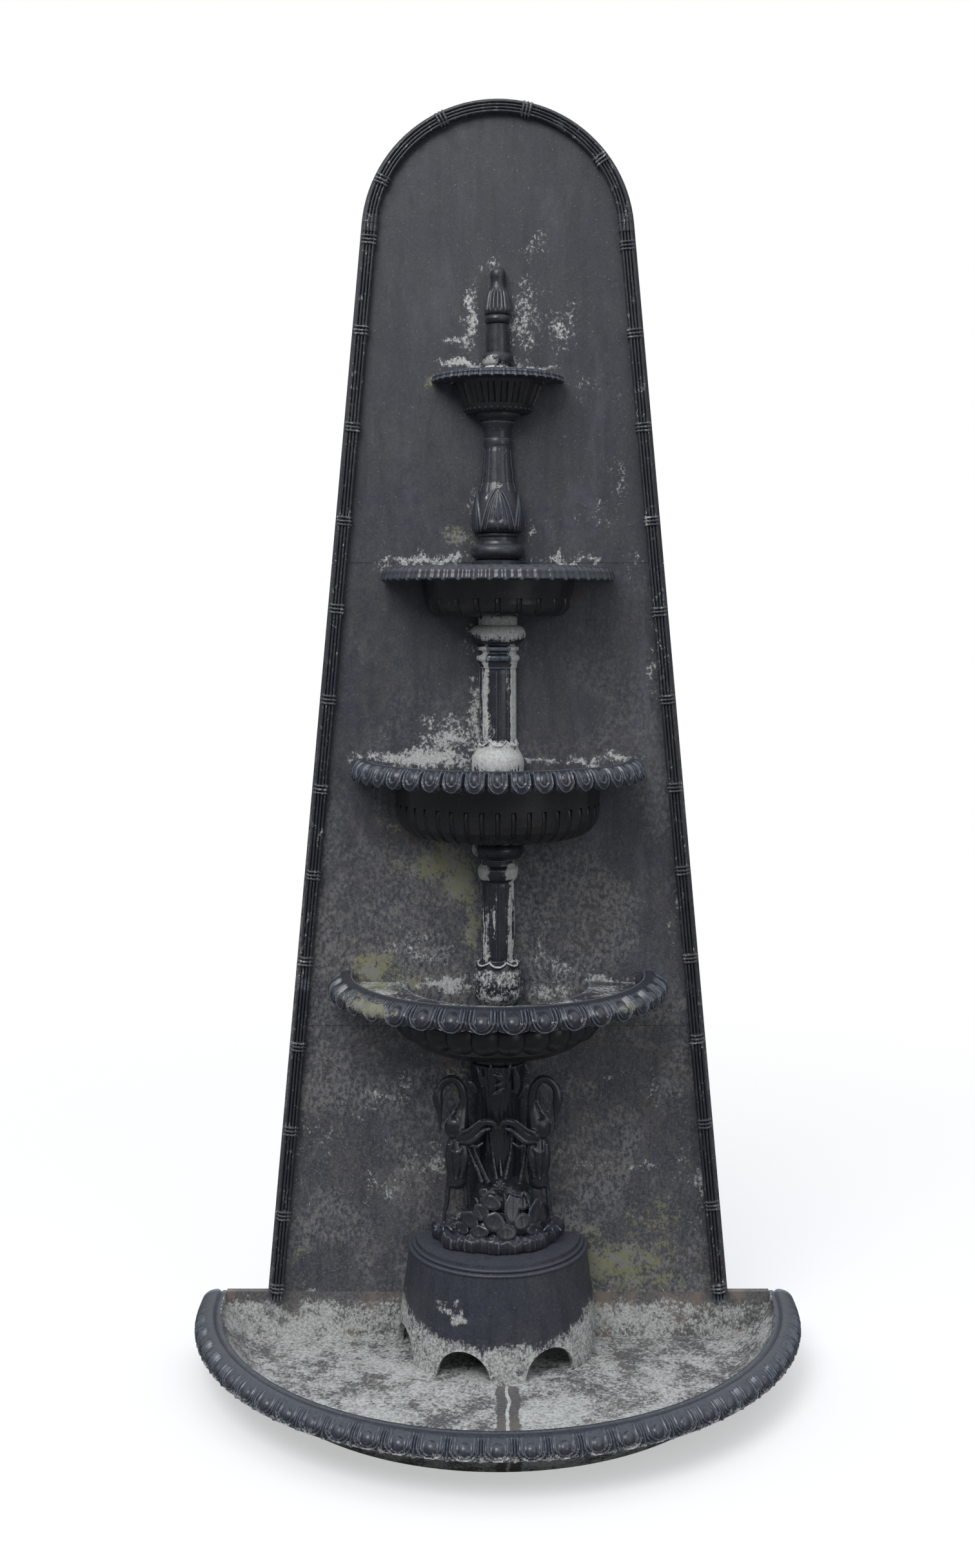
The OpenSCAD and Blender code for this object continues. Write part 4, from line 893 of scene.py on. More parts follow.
def weathered(
    name, lime=(), lichen=(), rust=(), lime_from=None, brown=0.3, tone=1.0, specks=0.6, wear_and_shading=0.0, gloss=0.52,
    grey=0.4, bend=18.0, dust=0.0, haze=0.0, silt=None, veil=None,
):
    """Blue-black paint with dirt and, where the rows say, limescale, lichen and rust. lime_from, silt and
    veil are functions of the wiring and the place that give coverages of their own, brown and tone may be
    such functions, and dust lies on what faces up."""
    look = looks()
    material, sheet, shader = surface(name, gloss)
    place = sheet.place()
    mottle = use(sheet, "fountain_mottle", {"Place": place})
    dirt = sheet.plus(mottle["Clouds"], sheet.times(mottle["Blotches"], 0.6))
    share = brown(sheet, place) if callable(brown) else brown
    base = sheet.blend(sheet.math("MULTIPLY", dirt, share, clamp=True), look.paint_blue[:], look.paint_brown[:])
    base = sheet.blend(sheet.times(mottle["Streaks"], 0.4), base, look.dark_paint_and_shade[:])
    base = sheet.blend(sheet.step(mottle["Grain"], 0.34, 0.66, 0.0, 0.55), base, look.dark_paint_and_shade[:])
    if haze:
        film = sheet.step(sheet.noise(place, 7, 7, 0.68, (2.6, 2.6, 0.9), bend=0.6), 0.5, 0.72, 0.0, haze)
        base = sheet.blend(film, base, look.haze[:])
    if veil:
        base = sheet.blend(veil(sheet, place), base, look.veil[:])
    if tone != 1.0:
        shade = tone(sheet, place) if callable(tone) else (tone, tone, tone, 1)
        base = sheet.blend(1.0, base, shade, "MULTIPLY")
    if wear_and_shading:
        # Painted shade: hollows turn dark. Raised lines turn pale, partly rubbed paint and partly painted highlight.
        rub_and_shading = sheet.painted("wear_and_shading")
        rub_and_shading = sheet.plus(rub_and_shading, sheet.times(sheet.math("SUBTRACT", mottle["Grain"], 0.5), 1.2))
        base = sheet.blend(sheet.step(rub_and_shading, 0.12, 0.5, 0.8, 0.0), base, look.dark_paint_and_shade[:])
        base = sheet.blend(sheet.step(rub_and_shading, 0.6, 1.15, 0.0, wear_and_shading), base, look.worn_and_highlight[:])
    if dust:
        up = sheet.axis(sheet.put("ShaderNodeNewGeometry").outputs["Normal"], "Z")
        lying = sheet.times(sheet.step(up, 0.25, 0.95), sheet.step(mottle["Grain"], 0.36, 0.62, 0.3, 1.0))
        base = sheet.blend(sheet.times(lying, dust), base, look.haze[:])
    wobble = sheet.put("ShaderNodeTexNoise", {"Vector": place, "Scale": 22.0, "Detail": 5.0, "Roughness": 0.65})
    shift = sheet.vector("SUBTRACT", wobble.outputs["Color"], (0.5, 0.5, 0.5))
    bent = sheet.vector("ADD", place, sheet.vector("MULTIPLY", shift, (bend * 4 * MM,) * 3))
    height = sheet.times(mottle["Grain"], 0.3)
    rough = sheet.plus(sheet.times(mottle["Blotches"], 0.16), gloss - 0.08)
    base = sheet.blend(sheet.times(mottle["Specks"], specks), base, look.lime_grey[:])
    if silt:
        base = sheet.blend(silt(sheet, bent), base, look.silt[:])
    coats = []
    for rows, first, second, amount in (
        (rust, look.rust[:], look.paint_brown[:], 0.7), (lichen, look.lichen[:], look.lime_grey[:], 0.75)
    ):
        if rows:
            tint = sheet.blend(mottle["Blotches"], first, second)
            coats.append((spots(sheet, bent, rows), tint, amount, 0.9, 0.5))
    covers = [spots(sheet, bent, lime)] if lime else []
    if lime_from:
        covers.append(lime_from(sheet, bent))
    if covers:
        dirtier = sheet.step(mottle["Grain"], 0.38, 0.6, grey * 1.6, grey * 0.4)
        tint = sheet.blend(dirtier, look.lime[:], look.lime_grey[:])
        coats.append((sheet.times(sheet.largest(*covers), look.lime_amount), tint, 1.0, 0.88, 1.0))
    for cover, tint, amount, dull, thick in coats:
        crust = use(sheet, "fountain_crust", {"Place": place, "Coverage": cover})
        base = sheet.blend(sheet.times(crust["Mask"], amount), base, tint)
        rough = sheet.largest(rough, sheet.times(crust["Mask"], dull))
        height = sheet.plus(height, sheet.times(crust["Height"], thick))
    bump = sheet.put("ShaderNodeBump", {"Strength": 0.45, "Distance": 1.0 * MM, "Height": height}).outputs[0]
    for socket, value in (("Base Color", base), ("Roughness", rough), ("Normal", bump)):
        sheet.tree.links.new(value, shader.inputs[socket])
    return material


# Limescale on the panel, most of it over the basins, as x, z, half width, half height and strength
PANEL_LIME = [
    (-45, 1700, 24, 90, 0.85), (-70, 1668, 34, 14, 0.8), (-14, 1792, 34, 24, 0.62), (42, 1700, 44, 100, 0.7),
    (52, 1826, 36, 36, 0.6), (104, 1690, 60, 60, 0.6), (-60, 1624, 66, 14, 1.0), (58, 1620, 66, 12, 0.85),
    (0, 1625, 44, 24, 0.9), (140, 1585, 60, 40, 0.45), (192, 1580, 30, 36, 0.55), (200, 1440, 34, 110, 0.5),
    (165, 1380, 50, 60, 0.42), (224, 1300, 34, 90, 0.5), (-40, 1400, 16, 50, 0.6), (-110, 1304, 100, 14, 0.95),
    (0, 1306, 80, 14, 0.95), (110, 1303, 90, 12, 0.85), (-190, 1292, 22, 18, 0.8), (56, 1345, 22, 30, 0.6),
    (-110, 972, 160, 24, 1.15), (-70, 1000, 90, 40, 0.95), (-90, 1030, 80, 30, 0.7), (-205, 975, 60, 20, 0.9),
    (70, 968, 70, 14, 0.95), (150, 966, 90, 14, 0.8), (208, 976, 44, 16, 0.9), (-36, 1050, 18, 90, 0.9),
    (-48, 1180, 18, 44, 0.7), (46, 1180, 12, 36, 0.6), (256, 1120, 12, 70, 0.7), (262, 1240, 12, 80, 0.5),
    (292, 720, 12, 90, 0.6), (-90, 600, 60, 20, 1.05), (-130, 655, 120, 60, 0.6), (-72, 588, 46, 16, 0.9),
    (72, 650, 50, 80, 0.5), (110, 620, 80, 40, 0.6), (88, 588, 60, 18, 0.85), (180, 600, 60, 16, 0.85),
    (-80, 455, 60, 30, 0.62), (-190, 405, 90, 20, 0.68), (-150, 430, 90, 36, 0.55), (-245, 390, 50, 24, 0.55),
    (-110, 300, 90, 60, 0.6), (-180, 270, 70, 60, 0.55), (-60, 380, 30, 90, 0.55), (190, 452, 80, 8, 0.6),
    (332, 260, 16, 130, 0.7), (300, 300, 40, 120, 0.45), (206, 300, 110, 18, 0.55), (-300, 330, 80, 160, 0.42),
    (260, 420, 60, 80, 0.42), (0, 330, 420, 260, 0.36),
]
PANEL_LICHEN = [
    (-110, 1592, 22, 20, 0.85), (104, 1594, 14, 12, 0.7), (-62, 1340, 34, 34, 0.75), (-40, 1400, 16, 50, 0.5),
    (-100, 800, 90, 44, 1.1), (-62, 765, 40, 44, 1.15), (-44, 705, 18, 90, 1.0), (-180, 840, 70, 46, 0.55),
    (-205, 628, 66, 34, 1.1), (-236, 666, 26, 20, 0.7), (-150, 602, 44, 26, 1.0), (180, 600, 60, 16, 0.9),
    (200, 130, 200, 80, 0.95), (260, 210, 120, 90, 0.7), (150, 190, 44, 30, 0.9), (-146, 175, 28, 60, 0.6),
    (-70, 400, 34, 80, 0.6), (-330, 150, 60, 120, 0.55), (-170, 860, 60, 40, 0.6),
]
TIER_LIME = [
    (0, 976, 70, 34, 1.5), (-20, 1010, 20, 40, 0.9), (0, 586, 50, 12, 0.9), (-24, 790, 14, 24, 0.9),
    (26, 790, 12, 20, 0.8), (-22, 1150, 14, 30, 0.8), (24, 1140, 10, 40, 0.6), (-14, 1622, 22, 17, 1.35),
    (8, 1616, 20, 12, 1.0), (0, 1420, 8, 10, 0.8), (-17, 1404, 4, 12, 0.7), (-6, 706, 4, 44, 0.95),
    (-2, 742, 3, 24, 0.8), (14, 725, 3, 30, 0.7), (-36, 1250, 14, 22, 1.0), (6, 1240, 30, 10, 0.6),
]
COLLAR_LIME = [(0, 1190, 90, 26, 1.6), (-46, 824, 16, 18, 1.2), (48, 824, 10, 16, 0.9), (0, 836, 60, 6, 0.6)]
ROCK_LIME = [(-90, 240, 40, 30, 0.7), (-60, 225, 40, 16, 0.7), (90, 240, 30, 24, 0.5)]
PLINTH_SPLASH = [
    (-60, 106, 16, 12, 1.3), (-78, 116, 22, 7, 1.0), (-66, 128, 6, 16, 0.9), (-56, 120, 5, 14, 0.8),
    (-92, 124, 18, 4, 0.8), (44, 132, 18, 8, 0.4),
]
PANEL_RUST = [
    (-84, 460, 40, 30, 0.85), (-150, 850, 80, 30, 0.75), (-60, 250, 30, 30, 0.6), (128, 1240, 20, 40, 0.7),
    (300, 440, 30, 30, 0.55), (-230, 870, 50, 30, 0.6), (-86, 520, 12, 26, 0.9),
]


def panel_brown(sheet, place):
    """The panel is browner towards its foot."""
    return sheet.step(sheet.axis(place, "Z"), 1.75, 0.35, 0.26, 0.46)


def panel_tone(sheet, place):
    """The panel is darker at its top, where it stays clean, and paler at its foot."""
    return sheet.step(sheet.axis(place, "Z"), 0.3, 1.9, 1.25, 0.83)


def panel_veil(sheet, place):
    """A dry, grainy film that thickens towards the panel's foot, more so at the right."""
    broad = sheet.step(sheet.noise(place, 6.5, 5, 0.62, bend=0.6), 0.42, 0.6)
    fine = sheet.step(sheet.noise(place, 170, 7, 0.8, (1, 1, 0.7)), 0.42, 0.62)
    level = sheet.axis(place, "Z")
    low = sheet.step(level, 1.5, 0.35, 0.1, 1.1)
    right = sheet.times(sheet.step(sheet.axis(place, "X"), -0.05, 0.2, 0.0, 0.5), sheet.step(level, 0.9, 0.4))
    dots = sheet.step(sheet.noise(place, 330, 3, 0.6), 0.56, 0.66)
    dots = sheet.times(dots, sheet.step(level, 1.1, 0.4, 0.1, 0.9))
    return sheet.largest(sheet.times(sheet.plus(broad, 0.2), sheet.plus(low, right), fine), dots)


def ledge_lime(sheet, place):
    """Limescale inside the basins, behind their rims."""
    inside = sheet.painted("lime_and_highlight")
    thin = sheet.step(sheet.axis(place, "Z"), 0.7, 0.8, 0.62, 1.0)
    patches = sheet.step(sheet.noise(place, 16, 4, 0.6), 0.36, 0.6, 0.7, 1.1)
    return sheet.times(inside, thin, patches)


def pool_rim_lime(sheet, place):
    """The same inside the pool's rim, and a broken line along its lower edge."""
    edge = sheet.step(sheet.axis(place, "Z"), 76 * MM, 62 * MM, 0.0, 0.72)
    return sheet.largest(ledge_lime(sheet, place), edge)


def pool_lime(sheet, place):
    """Coverage below the pool's water line, in broad patches, with a clean strip and a white line in it
    where water runs from the plinth's front foot to the rim."""
    patches = sheet.step(sheet.noise(place, 13, 5, 0.6), 0.34, 0.66, 0.62, 0.96)
    cover = sheet.times(sheet.step(sheet.axis(place, "Z"), 58 * MM, 88 * MM, 1.0, 0.25), patches)
    front = sheet.step(sheet.axis(place, "Y"), 66 * MM, 56 * MM)
    away = sheet.away(sheet.axis(place, "X"), 16 * MM)
    strip = sheet.times(sheet.step(away, 20 * MM, 14 * MM, 0.0, 0.7), front)
    line = sheet.times(sheet.step(away, 4 * MM, 1.6 * MM, 0.0, 1.2), front)
    return sheet.largest(sheet.math("SUBTRACT", cover, strip), line)


def wall_foot_lime(sheet, place):
    """The same line on the panel, thinner."""
    return sheet.step(sheet.axis(place, "Z"), 70 * MM, 110 * MM, 0.62, 0.0)


def plinth_lime(sheet, place):
    """The plinth is white with limescale up to the water line, higher at its sides."""
    line = sheet.step(sheet.away(sheet.axis(place, "X"), 0.0), 90 * MM, 150 * MM, 0.0, 24 * MM)
    level = sheet.math("SUBTRACT", sheet.axis(place, "Z"), line)
    return sheet.step(level, 56 * MM, 98 * MM, 0.9, 0.0)


def pool_film(sheet, place):
    """A thin grey film between the crusts on the pool's floor."""
    return sheet.step(sheet.noise(place, 260, 5, 0.75), 0.36, 0.62, 0.15, 0.95)


def pool_silt(sheet, place):
    """Brown silt on the pool's floor and at the foot of its back wall."""
    patches = sheet.step(sheet.noise(place, 12, 5, 0.66, bend=0.5), 0.46, 0.62)
    wall = sheet.step(sheet.axis(place, "Y"), PANEL_Y - 60 * MM, PANEL_Y, 0.34, 0.95)
    return sheet.times(wall, sheet.largest(patches, 0.1))


def column_drips(sheet, place):
    """White drips down both sides of a shaft, and lime on column 3's foot and capital and on crescents."""
    band = sheet.step(sheet.away(sheet.axis(place, "X"), 0.0), 8 * MM, 24 * MM, 0.25, 1.2)
    runs = sheet.step(sheet.noise(place, 60, 3, 0.6, (1, 1, 0.07)), 0.42, 0.56, 0.1, 1.0)
    level = sheet.axis(place, "Z")
    foot = sheet.step(sheet.away(level, 598 * MM), 36 * MM, 28 * MM, 0.0, 0.64)
    capital = sheet.step(sheet.away(level, 788 * MM), 16 * MM, 10 * MM)
    shaft = sheet.times(runs, sheet.step(level, 632 * MM, 646 * MM))
    raised = sheet.times(sheet.painted("lime_and_highlight"), 1.2)
    return sheet.largest(sheet.times(band, shaft), foot, raised, sheet.times(capital, band))


def reed_scratches_and_rib_highlight(sheet, place):
    """Pale scratches along the reeds of the border, and bindings made paler as a painted highlight."""
    scratches = sheet.step(sheet.noise(place, 210, 4, 0.62, (1, 1, 0.07)), 0.54, 0.68, 0.0, 0.9)
    rib_highlight = sheet.painted("lime_and_highlight")
    return sheet.largest(scratches, sheet.times(rib_highlight, 0.5))


FINISHES = {
    "panel": dict(
        lime=PANEL_LIME, lichen=PANEL_LICHEN, rust=PANEL_RUST, lime_from=wall_foot_lime, brown=panel_brown,
        specks=0.9, haze=0.22, veil=panel_veil, tone=panel_tone
    ),
    "border": dict(lime_from=reed_scratches_and_rib_highlight, tone=0.78, wear_and_shading=0.5, gloss=0.4, specks=0.6, grey=0.8),
    "rim": dict(
        lichen=[(-200, 606, 60, 16, 1.2), (200, 606, 40, 12, 0.7)], lime_from=ledge_lime, brown=0.1, tone=0.66,
        wear_and_shading=0.75, gloss=0.28, dust=0.1, specks=0.5, bend=4
    ),
    "pool_rim": dict(
        lime_from=pool_rim_lime, brown=0.1, tone=0.92, wear_and_shading=0.9, gloss=0.28, dust=0.2, specks=0.5, bend=4, grey=0.6
    ),
    # The bowls get a darker copy of the paint, as painted shade under the rims
    "bowl": dict(brown=0.5, tone=0.3, gloss=0.34, dust=0.3, specks=0.35),
    "tier": dict(lime=TIER_LIME, brown=0.2, tone=0.62, gloss=0.34, dust=0.25, bend=6),
    "shaft": dict(
        lime=TIER_LIME, lime_from=column_drips, brown=0.15, tone=0.72, wear_and_shading=0.7, gloss=0.28, grey=0.35, bend=3
    ),
    "carved": dict(lime=TIER_LIME, brown=0.2, tone=0.74, wear_and_shading=0.6, gloss=0.32, dust=0.2, bend=4, specks=0.7),
    "limed": dict(lime=COLLAR_LIME, brown=0.2, tone=0.6, gloss=0.34, bend=8),
    # The pedestal gets a darker copy of the paint, as painted shade below the lowest basin
    "pedestal": dict(brown=0.15, tone=0.5, wear_and_shading=0.95, gloss=0.24, dust=0.2, specks=0.5),
    "rock": dict(lime=ROCK_LIME, brown=0.2, tone=0.62, wear_and_shading=0.7, gloss=0.34, dust=0.35),
    "plinth": dict(
        lime=PLINTH_SPLASH, lime_from=plinth_lime, brown=0.12, gloss=0.44, bend=10, dust=0.4, specks=0.7, grey=0.75
    ),
    "pool": dict(lime_from=pool_lime, brown=0.3, gloss=0.6, grey=0.5, bend=5, silt=pool_silt, veil=pool_film),
}


def make_materials():
    """Every finish by name."""
    made = {name: weathered(f"{name}_paint", **options) for name, options in FINISHES.items()}
    made["brass"] = plain_metal("pipe_brass", srgb(176, 148, 92))
    made["steel"] = plain_metal("fixing_steel", srgb(150, 150, 152))
    return made


def plain_metal(name, tint):
    """Dull bare metal of the pipe and the fasteners."""
    material, sheet, shader = surface(name, 0.4)
    shader.inputs["Metallic"].default_value = 1.0
    noise = sheet.noise(sheet.place(), 120, 4, 0.6)
    dull = sheet.blend(sheet.step(noise, 0.4, 0.7), tint, (tint[0] * 0.5, tint[1] * 0.5, tint[2] * 0.5, 1))
    sheet.tree.links.new(dull, shader.inputs["Base Color"])
    sheet.tree.links.new(sheet.step(noise, 0.3, 0.7, 0.3, 0.6), shader.inputs["Roughness"])
    return material


MATERIALS = {}


class FOUNTAIN_OT_castings(bpy.types.Operator):
    """Paints and metals, given to the castings and fittings that keep their shape"""

    bl_idname = "fountain.castings"
    bl_label = "Castings"

    def execute(self, context):
        MATERIALS.update(make_materials())
        for finish, names in (
            ("panel", ["back_panel_upper", "back_panel_middle", "back_panel_lower"]),
            ("pool", ["pool_bowl"]),
            ("plinth", ["plinth_drum", "plinth_cap"]),
            ("limed", ["column_2_collar", "column_3_collar"]),
            ("bowl", [f"basin_{number}_bowl" for number in range(1, 5)]),
            ("tier", ["column_1_base", "finial_stem"]),
            ("brass", ["riser_pipe", "pipe_nut", "hose_tail"]),
            ("steel", ["joint_strap_upper", "joint_strap_lower", "pool_strap", "strap_bolts", "tier_bolts"]),
        ):
            for name in names:
                dress(NODES[name], MATERIALS[finish])
        return {"FINISHED"}


class FOUNTAIN_OT_rims(bpy.types.Operator):
    """Egg-and-dart rims of the pool and the basins"""

    bl_idname = "fountain.rims"
    bl_label = "Rims"

    def execute(self, context):
        inside = [
            (462.4, 74), (456, 74), (450, 74.5), (450, 80), (450.6, 84), (453, 85.6), (457, 85.4), (459, 83.4),
            (461, 84.6),
        ]
        face = [(461, 84.6), (465, 87.4), (471, 87.2), (479, 84.8), (486, 80), (490.5, 74), (492.4, 67), (491.6, 61)]
        under = [(491.6, 61), (488, 59.4), (475, 59.5), (462.4, 60), (462.4, 66), (462.4, 74)]
        parts = [(inside, 20), (face, 34), (under, 12)]
        piece = rim("pool_rim_moulding", parts, 33, 24, fine_eggs, 0, back_y=12, plain=1.0)
        hand_over(piece, ["pool_rim"], MATERIALS["pool_rim"], worn_and_highlight=2.6)
        for number, radius, lip, z, seat, band, hang, eggs, relief, scallop, rows, steps, finish in (
            (4, 281, 160, 622, 596, 39, 9, 18, egg_and_dart, 7.0, 34, 26, "rim"),
            (3, 244, 170, 974, 948, 28, 6, 21, tongue, 6.0, 34, 20, "rim"),
            (2, 196, 126, 1290, 1268, 23, 2.5, 24, ruffle, 1.5, 24, 20, "pool_rim"),
            (1, 113, 74, 1606, 1593, 17, 1.6, 18, ruffle, 1.2, 24, 20, "pool_rim"),
        ):
            lining, crown, high, out = lip - 8, radius - band, z - seat, radius - 3.6
            inside = [
                (lip + 4, seat), (lining + 2, seat), (lining, seat + 1), (lining + 4, seat + high * 0.2),
                (crown - 12, seat + high * 0.24), (crown - 4, z - high * 0.3), (crown - 2, z - 2), (crown, z - 0.4),
                (crown + 2.4, z - 1), (crown + 3.6, z - 2),
            ]
            face = [
                inside[-1], (crown + 6, z - 0.8), (crown + band * 0.4, z - high * 0.1),
                (crown + band * 0.66, z - high * 0.34), (out - 2, z - high * 0.66), (out, seat + 1),
                (out - 1, seat - hang * 0.55), (out - 4, seat - hang),
            ]
            under = [
                face[-1], (out - 9, seat - hang * 0.6), (out - 16, seat - 1.8), ((out + lip) / 2, seat - 1.8),
                (lip + 8, seat - 1.8), (lip + 4, seat - 1.8), (lip + 4, seat),
            ]
            parts = [(inside, 22), (face, rows), (under, 14)]
            piece = rim(f"basin_{number}_rim_moulding", parts, eggs, steps, relief, scallop)
            hand_over(piece, [f"basin_{number}_rim"], MATERIALS[finish], worn_and_highlight=2.6)
        return {"FINISHED"}


# Pedestal, with places in mm: across, out from the panel, up, and a radius where one follows


NECK = [
    (63, 53, 374, 17), (60, 51, 392, 13), (57, 49, 408, 9), (56, 48, 426, 7.4), (61, 47, 443, 7), (71, 46, 453, 6.8),
    (84, 46, 451, 6.6), (94, 47, 440, 6.4), (98, 49, 427, 8), (97, 51, 415, 8), (95, 53, 404, 5), (94, 55, 384, 2.6),
    (94, 56, 357, 1.2),
]
WING = [
    (66, 60, 366, 9), (50, 64, 366, 8), (40, 66, 374, 7), (30, 66, 385, 6.4), (18, 64, 389, 6), (7, 62, 385, 4.4),
    (3, 60, 377, 2.4),
]
WING_FOLDS = [
    [(60, 62, 358, 6), (44, 66, 358, 5), (33, 67, 366, 4.4), (22, 66, 376, 3.6), (12, 64, 378, 2)],
    [(60, 66, 372, 5), (48, 70, 378, 3), (38, 70, 386, 2.4), (28, 69, 393, 1.6)],
    [(44, 66, 352, 3.4), (34, 68, 350, 2.6), (24, 66, 356, 1.6)],
]
FEATHERS = [
    [(56, 60, 356, 4), (54, 66, 330, 6), (60, 66, 300, 1.6)],
    [(68, 62, 360, 4), (66, 68, 332, 7), (68, 66, 296, 1.6)],
    [(78, 58, 352, 4), (77, 62, 326, 6), (72, 62, 292, 1.6)],
    [(58, 66, 348, 3), (66, 70, 340, 4), (76, 66, 344, 1)],
]
CREST = [
    [(63, 52, 420, 2.2), (71, 55, 404, 1.8), (88, 58, 384, 1)],
    [(98, 50, 432, 3), (105, 51, 436, 1.8), (111, 52, 434, 0.8)],
    [(100, 50, 426, 3), (107, 51, 427, 1.6), (111, 52, 424, 0.7)],
    [(94, 50, 440, 2.4), (102, 50, 444, 1.6), (107, 51, 442, 0.7)],
]
LEGS = [
    [(76, 50, 296, 7), (81, 51, 278, 4.2), (83, 52, 254, 4.4), (86, 54, 242, 3.4), (88, 58, 218, 3.8)],
    [(58, 50, 292, 6), (53, 51, 276, 4), (51, 53, 256, 4.2), (50, 55, 244, 3.2), (49, 60, 220, 3.8)],
]
STEMS = [
    [(-46, 50, 358, 4), (-31, 55, 322, 3.6), (-15, 62, 290, 4)],
    [(-54, 48, 352, 3.4), (-40, 53, 322, 3), (-25, 60, 290, 3.2)],
    [(47, 50, 364, 3.6), (43, 54, 326, 3.4), (35, 62, 288, 3.6)],
    [(-12, 44, 366, 3), (-8, 47, 330, 2.4), (-2, 58, 294, 3)],
    [(24, 44, 366, 3), (20, 47, 330, 2.4), (12, 58, 294, 3)],
    [(8, 44, 362, 2.4), (4, 46, 326, 2), (6, 56, 298, 2)],
]
BLADES = [
    [(13, 50, 449, 3), (2, 55, 458, 4.2), (-9, 58, 466, 0.8)],
    [(13, 50, 444, 3), (4, 56, 447, 3.6), (-6, 59, 446, 0.8)],
    [(13, 50, 440, 3), (2, 56, 436, 4), (-10, 58, 430, 0.8)],
    [(29, 46, 430, 4), (31, 52, 452, 6), (28, 56, 476, 0.8)],
    [(-44, 34, 448, 3), (-51, 40, 462, 4), (-60, 44, 470, 0.8)],
    [(-24, 46, 440, 3), (-28, 50, 458, 4), (-35, 54, 478, 0.8)],
    [(42, 38, 448, 3), (47, 42, 464, 4), (44, 46, 480, 0.8)],
    [(-12, 50, 450, 3), (-14, 54, 468, 3.4), (-9, 57, 482, 0.8)],
    [(16, 50, 452, 3), (17, 54, 468, 3.4), (22, 57, 483, 0.8)],
    [(-36, 40, 430, 3), (-41, 46, 444, 3.6), (-50, 50, 452, 0.8)],
    [(36, 42, 420, 3), (44, 48, 436, 3.8), (52, 50, 448, 0.8)],
]
# Lily leaves as across, up, half width, half height and lean in degrees
LILY_LEAVES = [
    (-12, 264, 18, 11, 12), (23, 255, 13, 23, 4), (42, 263, 13, 13, 0), (-28, 249, 14, 12, -30),
    (-6, 236, 19, 14, 14), (60, 243, 11, 18, 10), (74, 240, 9, 15, -14), (-46, 236, 15, 12, 20),
    (40, 234, 15, 12, -10), (14, 220, 17, 10, 5), (-30, 221, 16, 9, -8), (60, 219, 14, 8, 12), (-22, 277, 9, 7, 30),
    (-58, 222, 11, 8, 10),
]
LILY_STEMS = [
    [(6, 73, 284, 1.6), (12, 78, 268, 1.7), (10, 84, 244, 1.6), (8, 92, 226, 1.6)],
    [(10, 73, 284, 1.6), (24, 75, 276, 1.6), (36, 74, 272, 1.5)],
    [(-6, 73, 284, 1.6), (-18, 76, 276, 1.6), (-24, 80, 258, 1.4)],
    [(44, 72, 276, 1.6), (50, 73, 262, 1.6), (52, 76, 246, 1.5)],
    [(-36, 70, 268, 2), (-30, 76, 256, 1.6), (-36, 80, 244, 1.4)],
]


def reed_radius(z):
    """How far the bundle of reeds reaches from the pipe's axis at a level."""
    return 38 + 8 * fade(z, 400, 470) + 10 * (1 - fade(z, 225, 300))


class FOUNTAIN_OT_herons(bpy.types.Operator):
    """Two herons with folded wings"""

    bl_idname = "fountain.herons"
    bl_label = "Herons"

    def execute(self, context):
        parts = [
            strand("neck", NECK, 0.9, 12), strand("wing", WING, 0.8, 12), lobe("breast", 67, 53, 377, 20, 14, 20, -18),
            lobe("body", 67, 50, 322, 19, 16, 44, 4), lobe("thigh", 67, 50, 292, 17, 13, 17),
        ]
        for i, route in enumerate(WING_FOLDS + FEATHERS + CREST + LEGS):
            parts.append(strand(f"limb_{i}", route, 0.75 if len(route) == 3 else 1.0, 8))
        for x, out in ((88, 58), (49, 60)):
            for toe in (-9, 0, 9):
                route = [(x, out, 222, 3), (x + toe, out + 11, 220, 2.4), (x + toe * 1.6, out + 17, 217, 1.2)]
                parts.append(strand(f"toe_{x}_{toe}", route, 1, 8))
        right = cast("heron_right_casting", parts, 1.15)
        left = mirrored("heron_left_casting", right)
        hand_over_cast(right, "heron_right")
        hand_over_cast(left, "heron_left")
        return {"FINISHED"}


class FOUNTAIN_OT_reeds(bpy.types.Operator):
    """Bundle of bulrushes with pointed leaves, and the stems that cross below the wings"""

    bl_idname = "fountain.reeds"
    bl_label = "Reeds"

    def execute(self, context):
        levels = range(216, 493, 12)
        # The core is thicker than the panel is deep, and shows through the panel's back
        core = [(0, 8, z, reed_radius(z) - 4) for z in levels]
        parts = [strand("core", core, 0.92, 32, 60)]
        reeds = 31
        for i in range(reeds):
            angle = math.radians(-84 + 168 * i / (reeds - 1))
            sway = noise.noise(Vector((i * 1.7, 3.1, 0.5)))
            route = []
            for z in range(222, 492, 18):
                bend = angle + 0.05 * sway * math.sin(z / 40 + i)
                reach = reed_radius(z) - 2.4 + 1.6 * noise.noise(Vector((i, z / 60, 2)))
                route.append((reach * math.sin(bend), AXIS_OUT + reach * math.cos(bend) * 0.96, z, 2.3 + 0.8 * sway))
            parts.append(strand(f"reed_{i}", route, 1.0, 8, 34))
        parts += strands("stem", STEMS) + strands("blade", BLADES, 0.45)
        hand_over_cast(cast("bulrush_casting", parts, 1.35), "bulrush_stem")
        return {"FINISHED"}


def lily_out(x, z):
    """How far the bed of lily leaves stands out from the panel."""
    return 68 + (292 - z) * 0.36 - x * x / 170


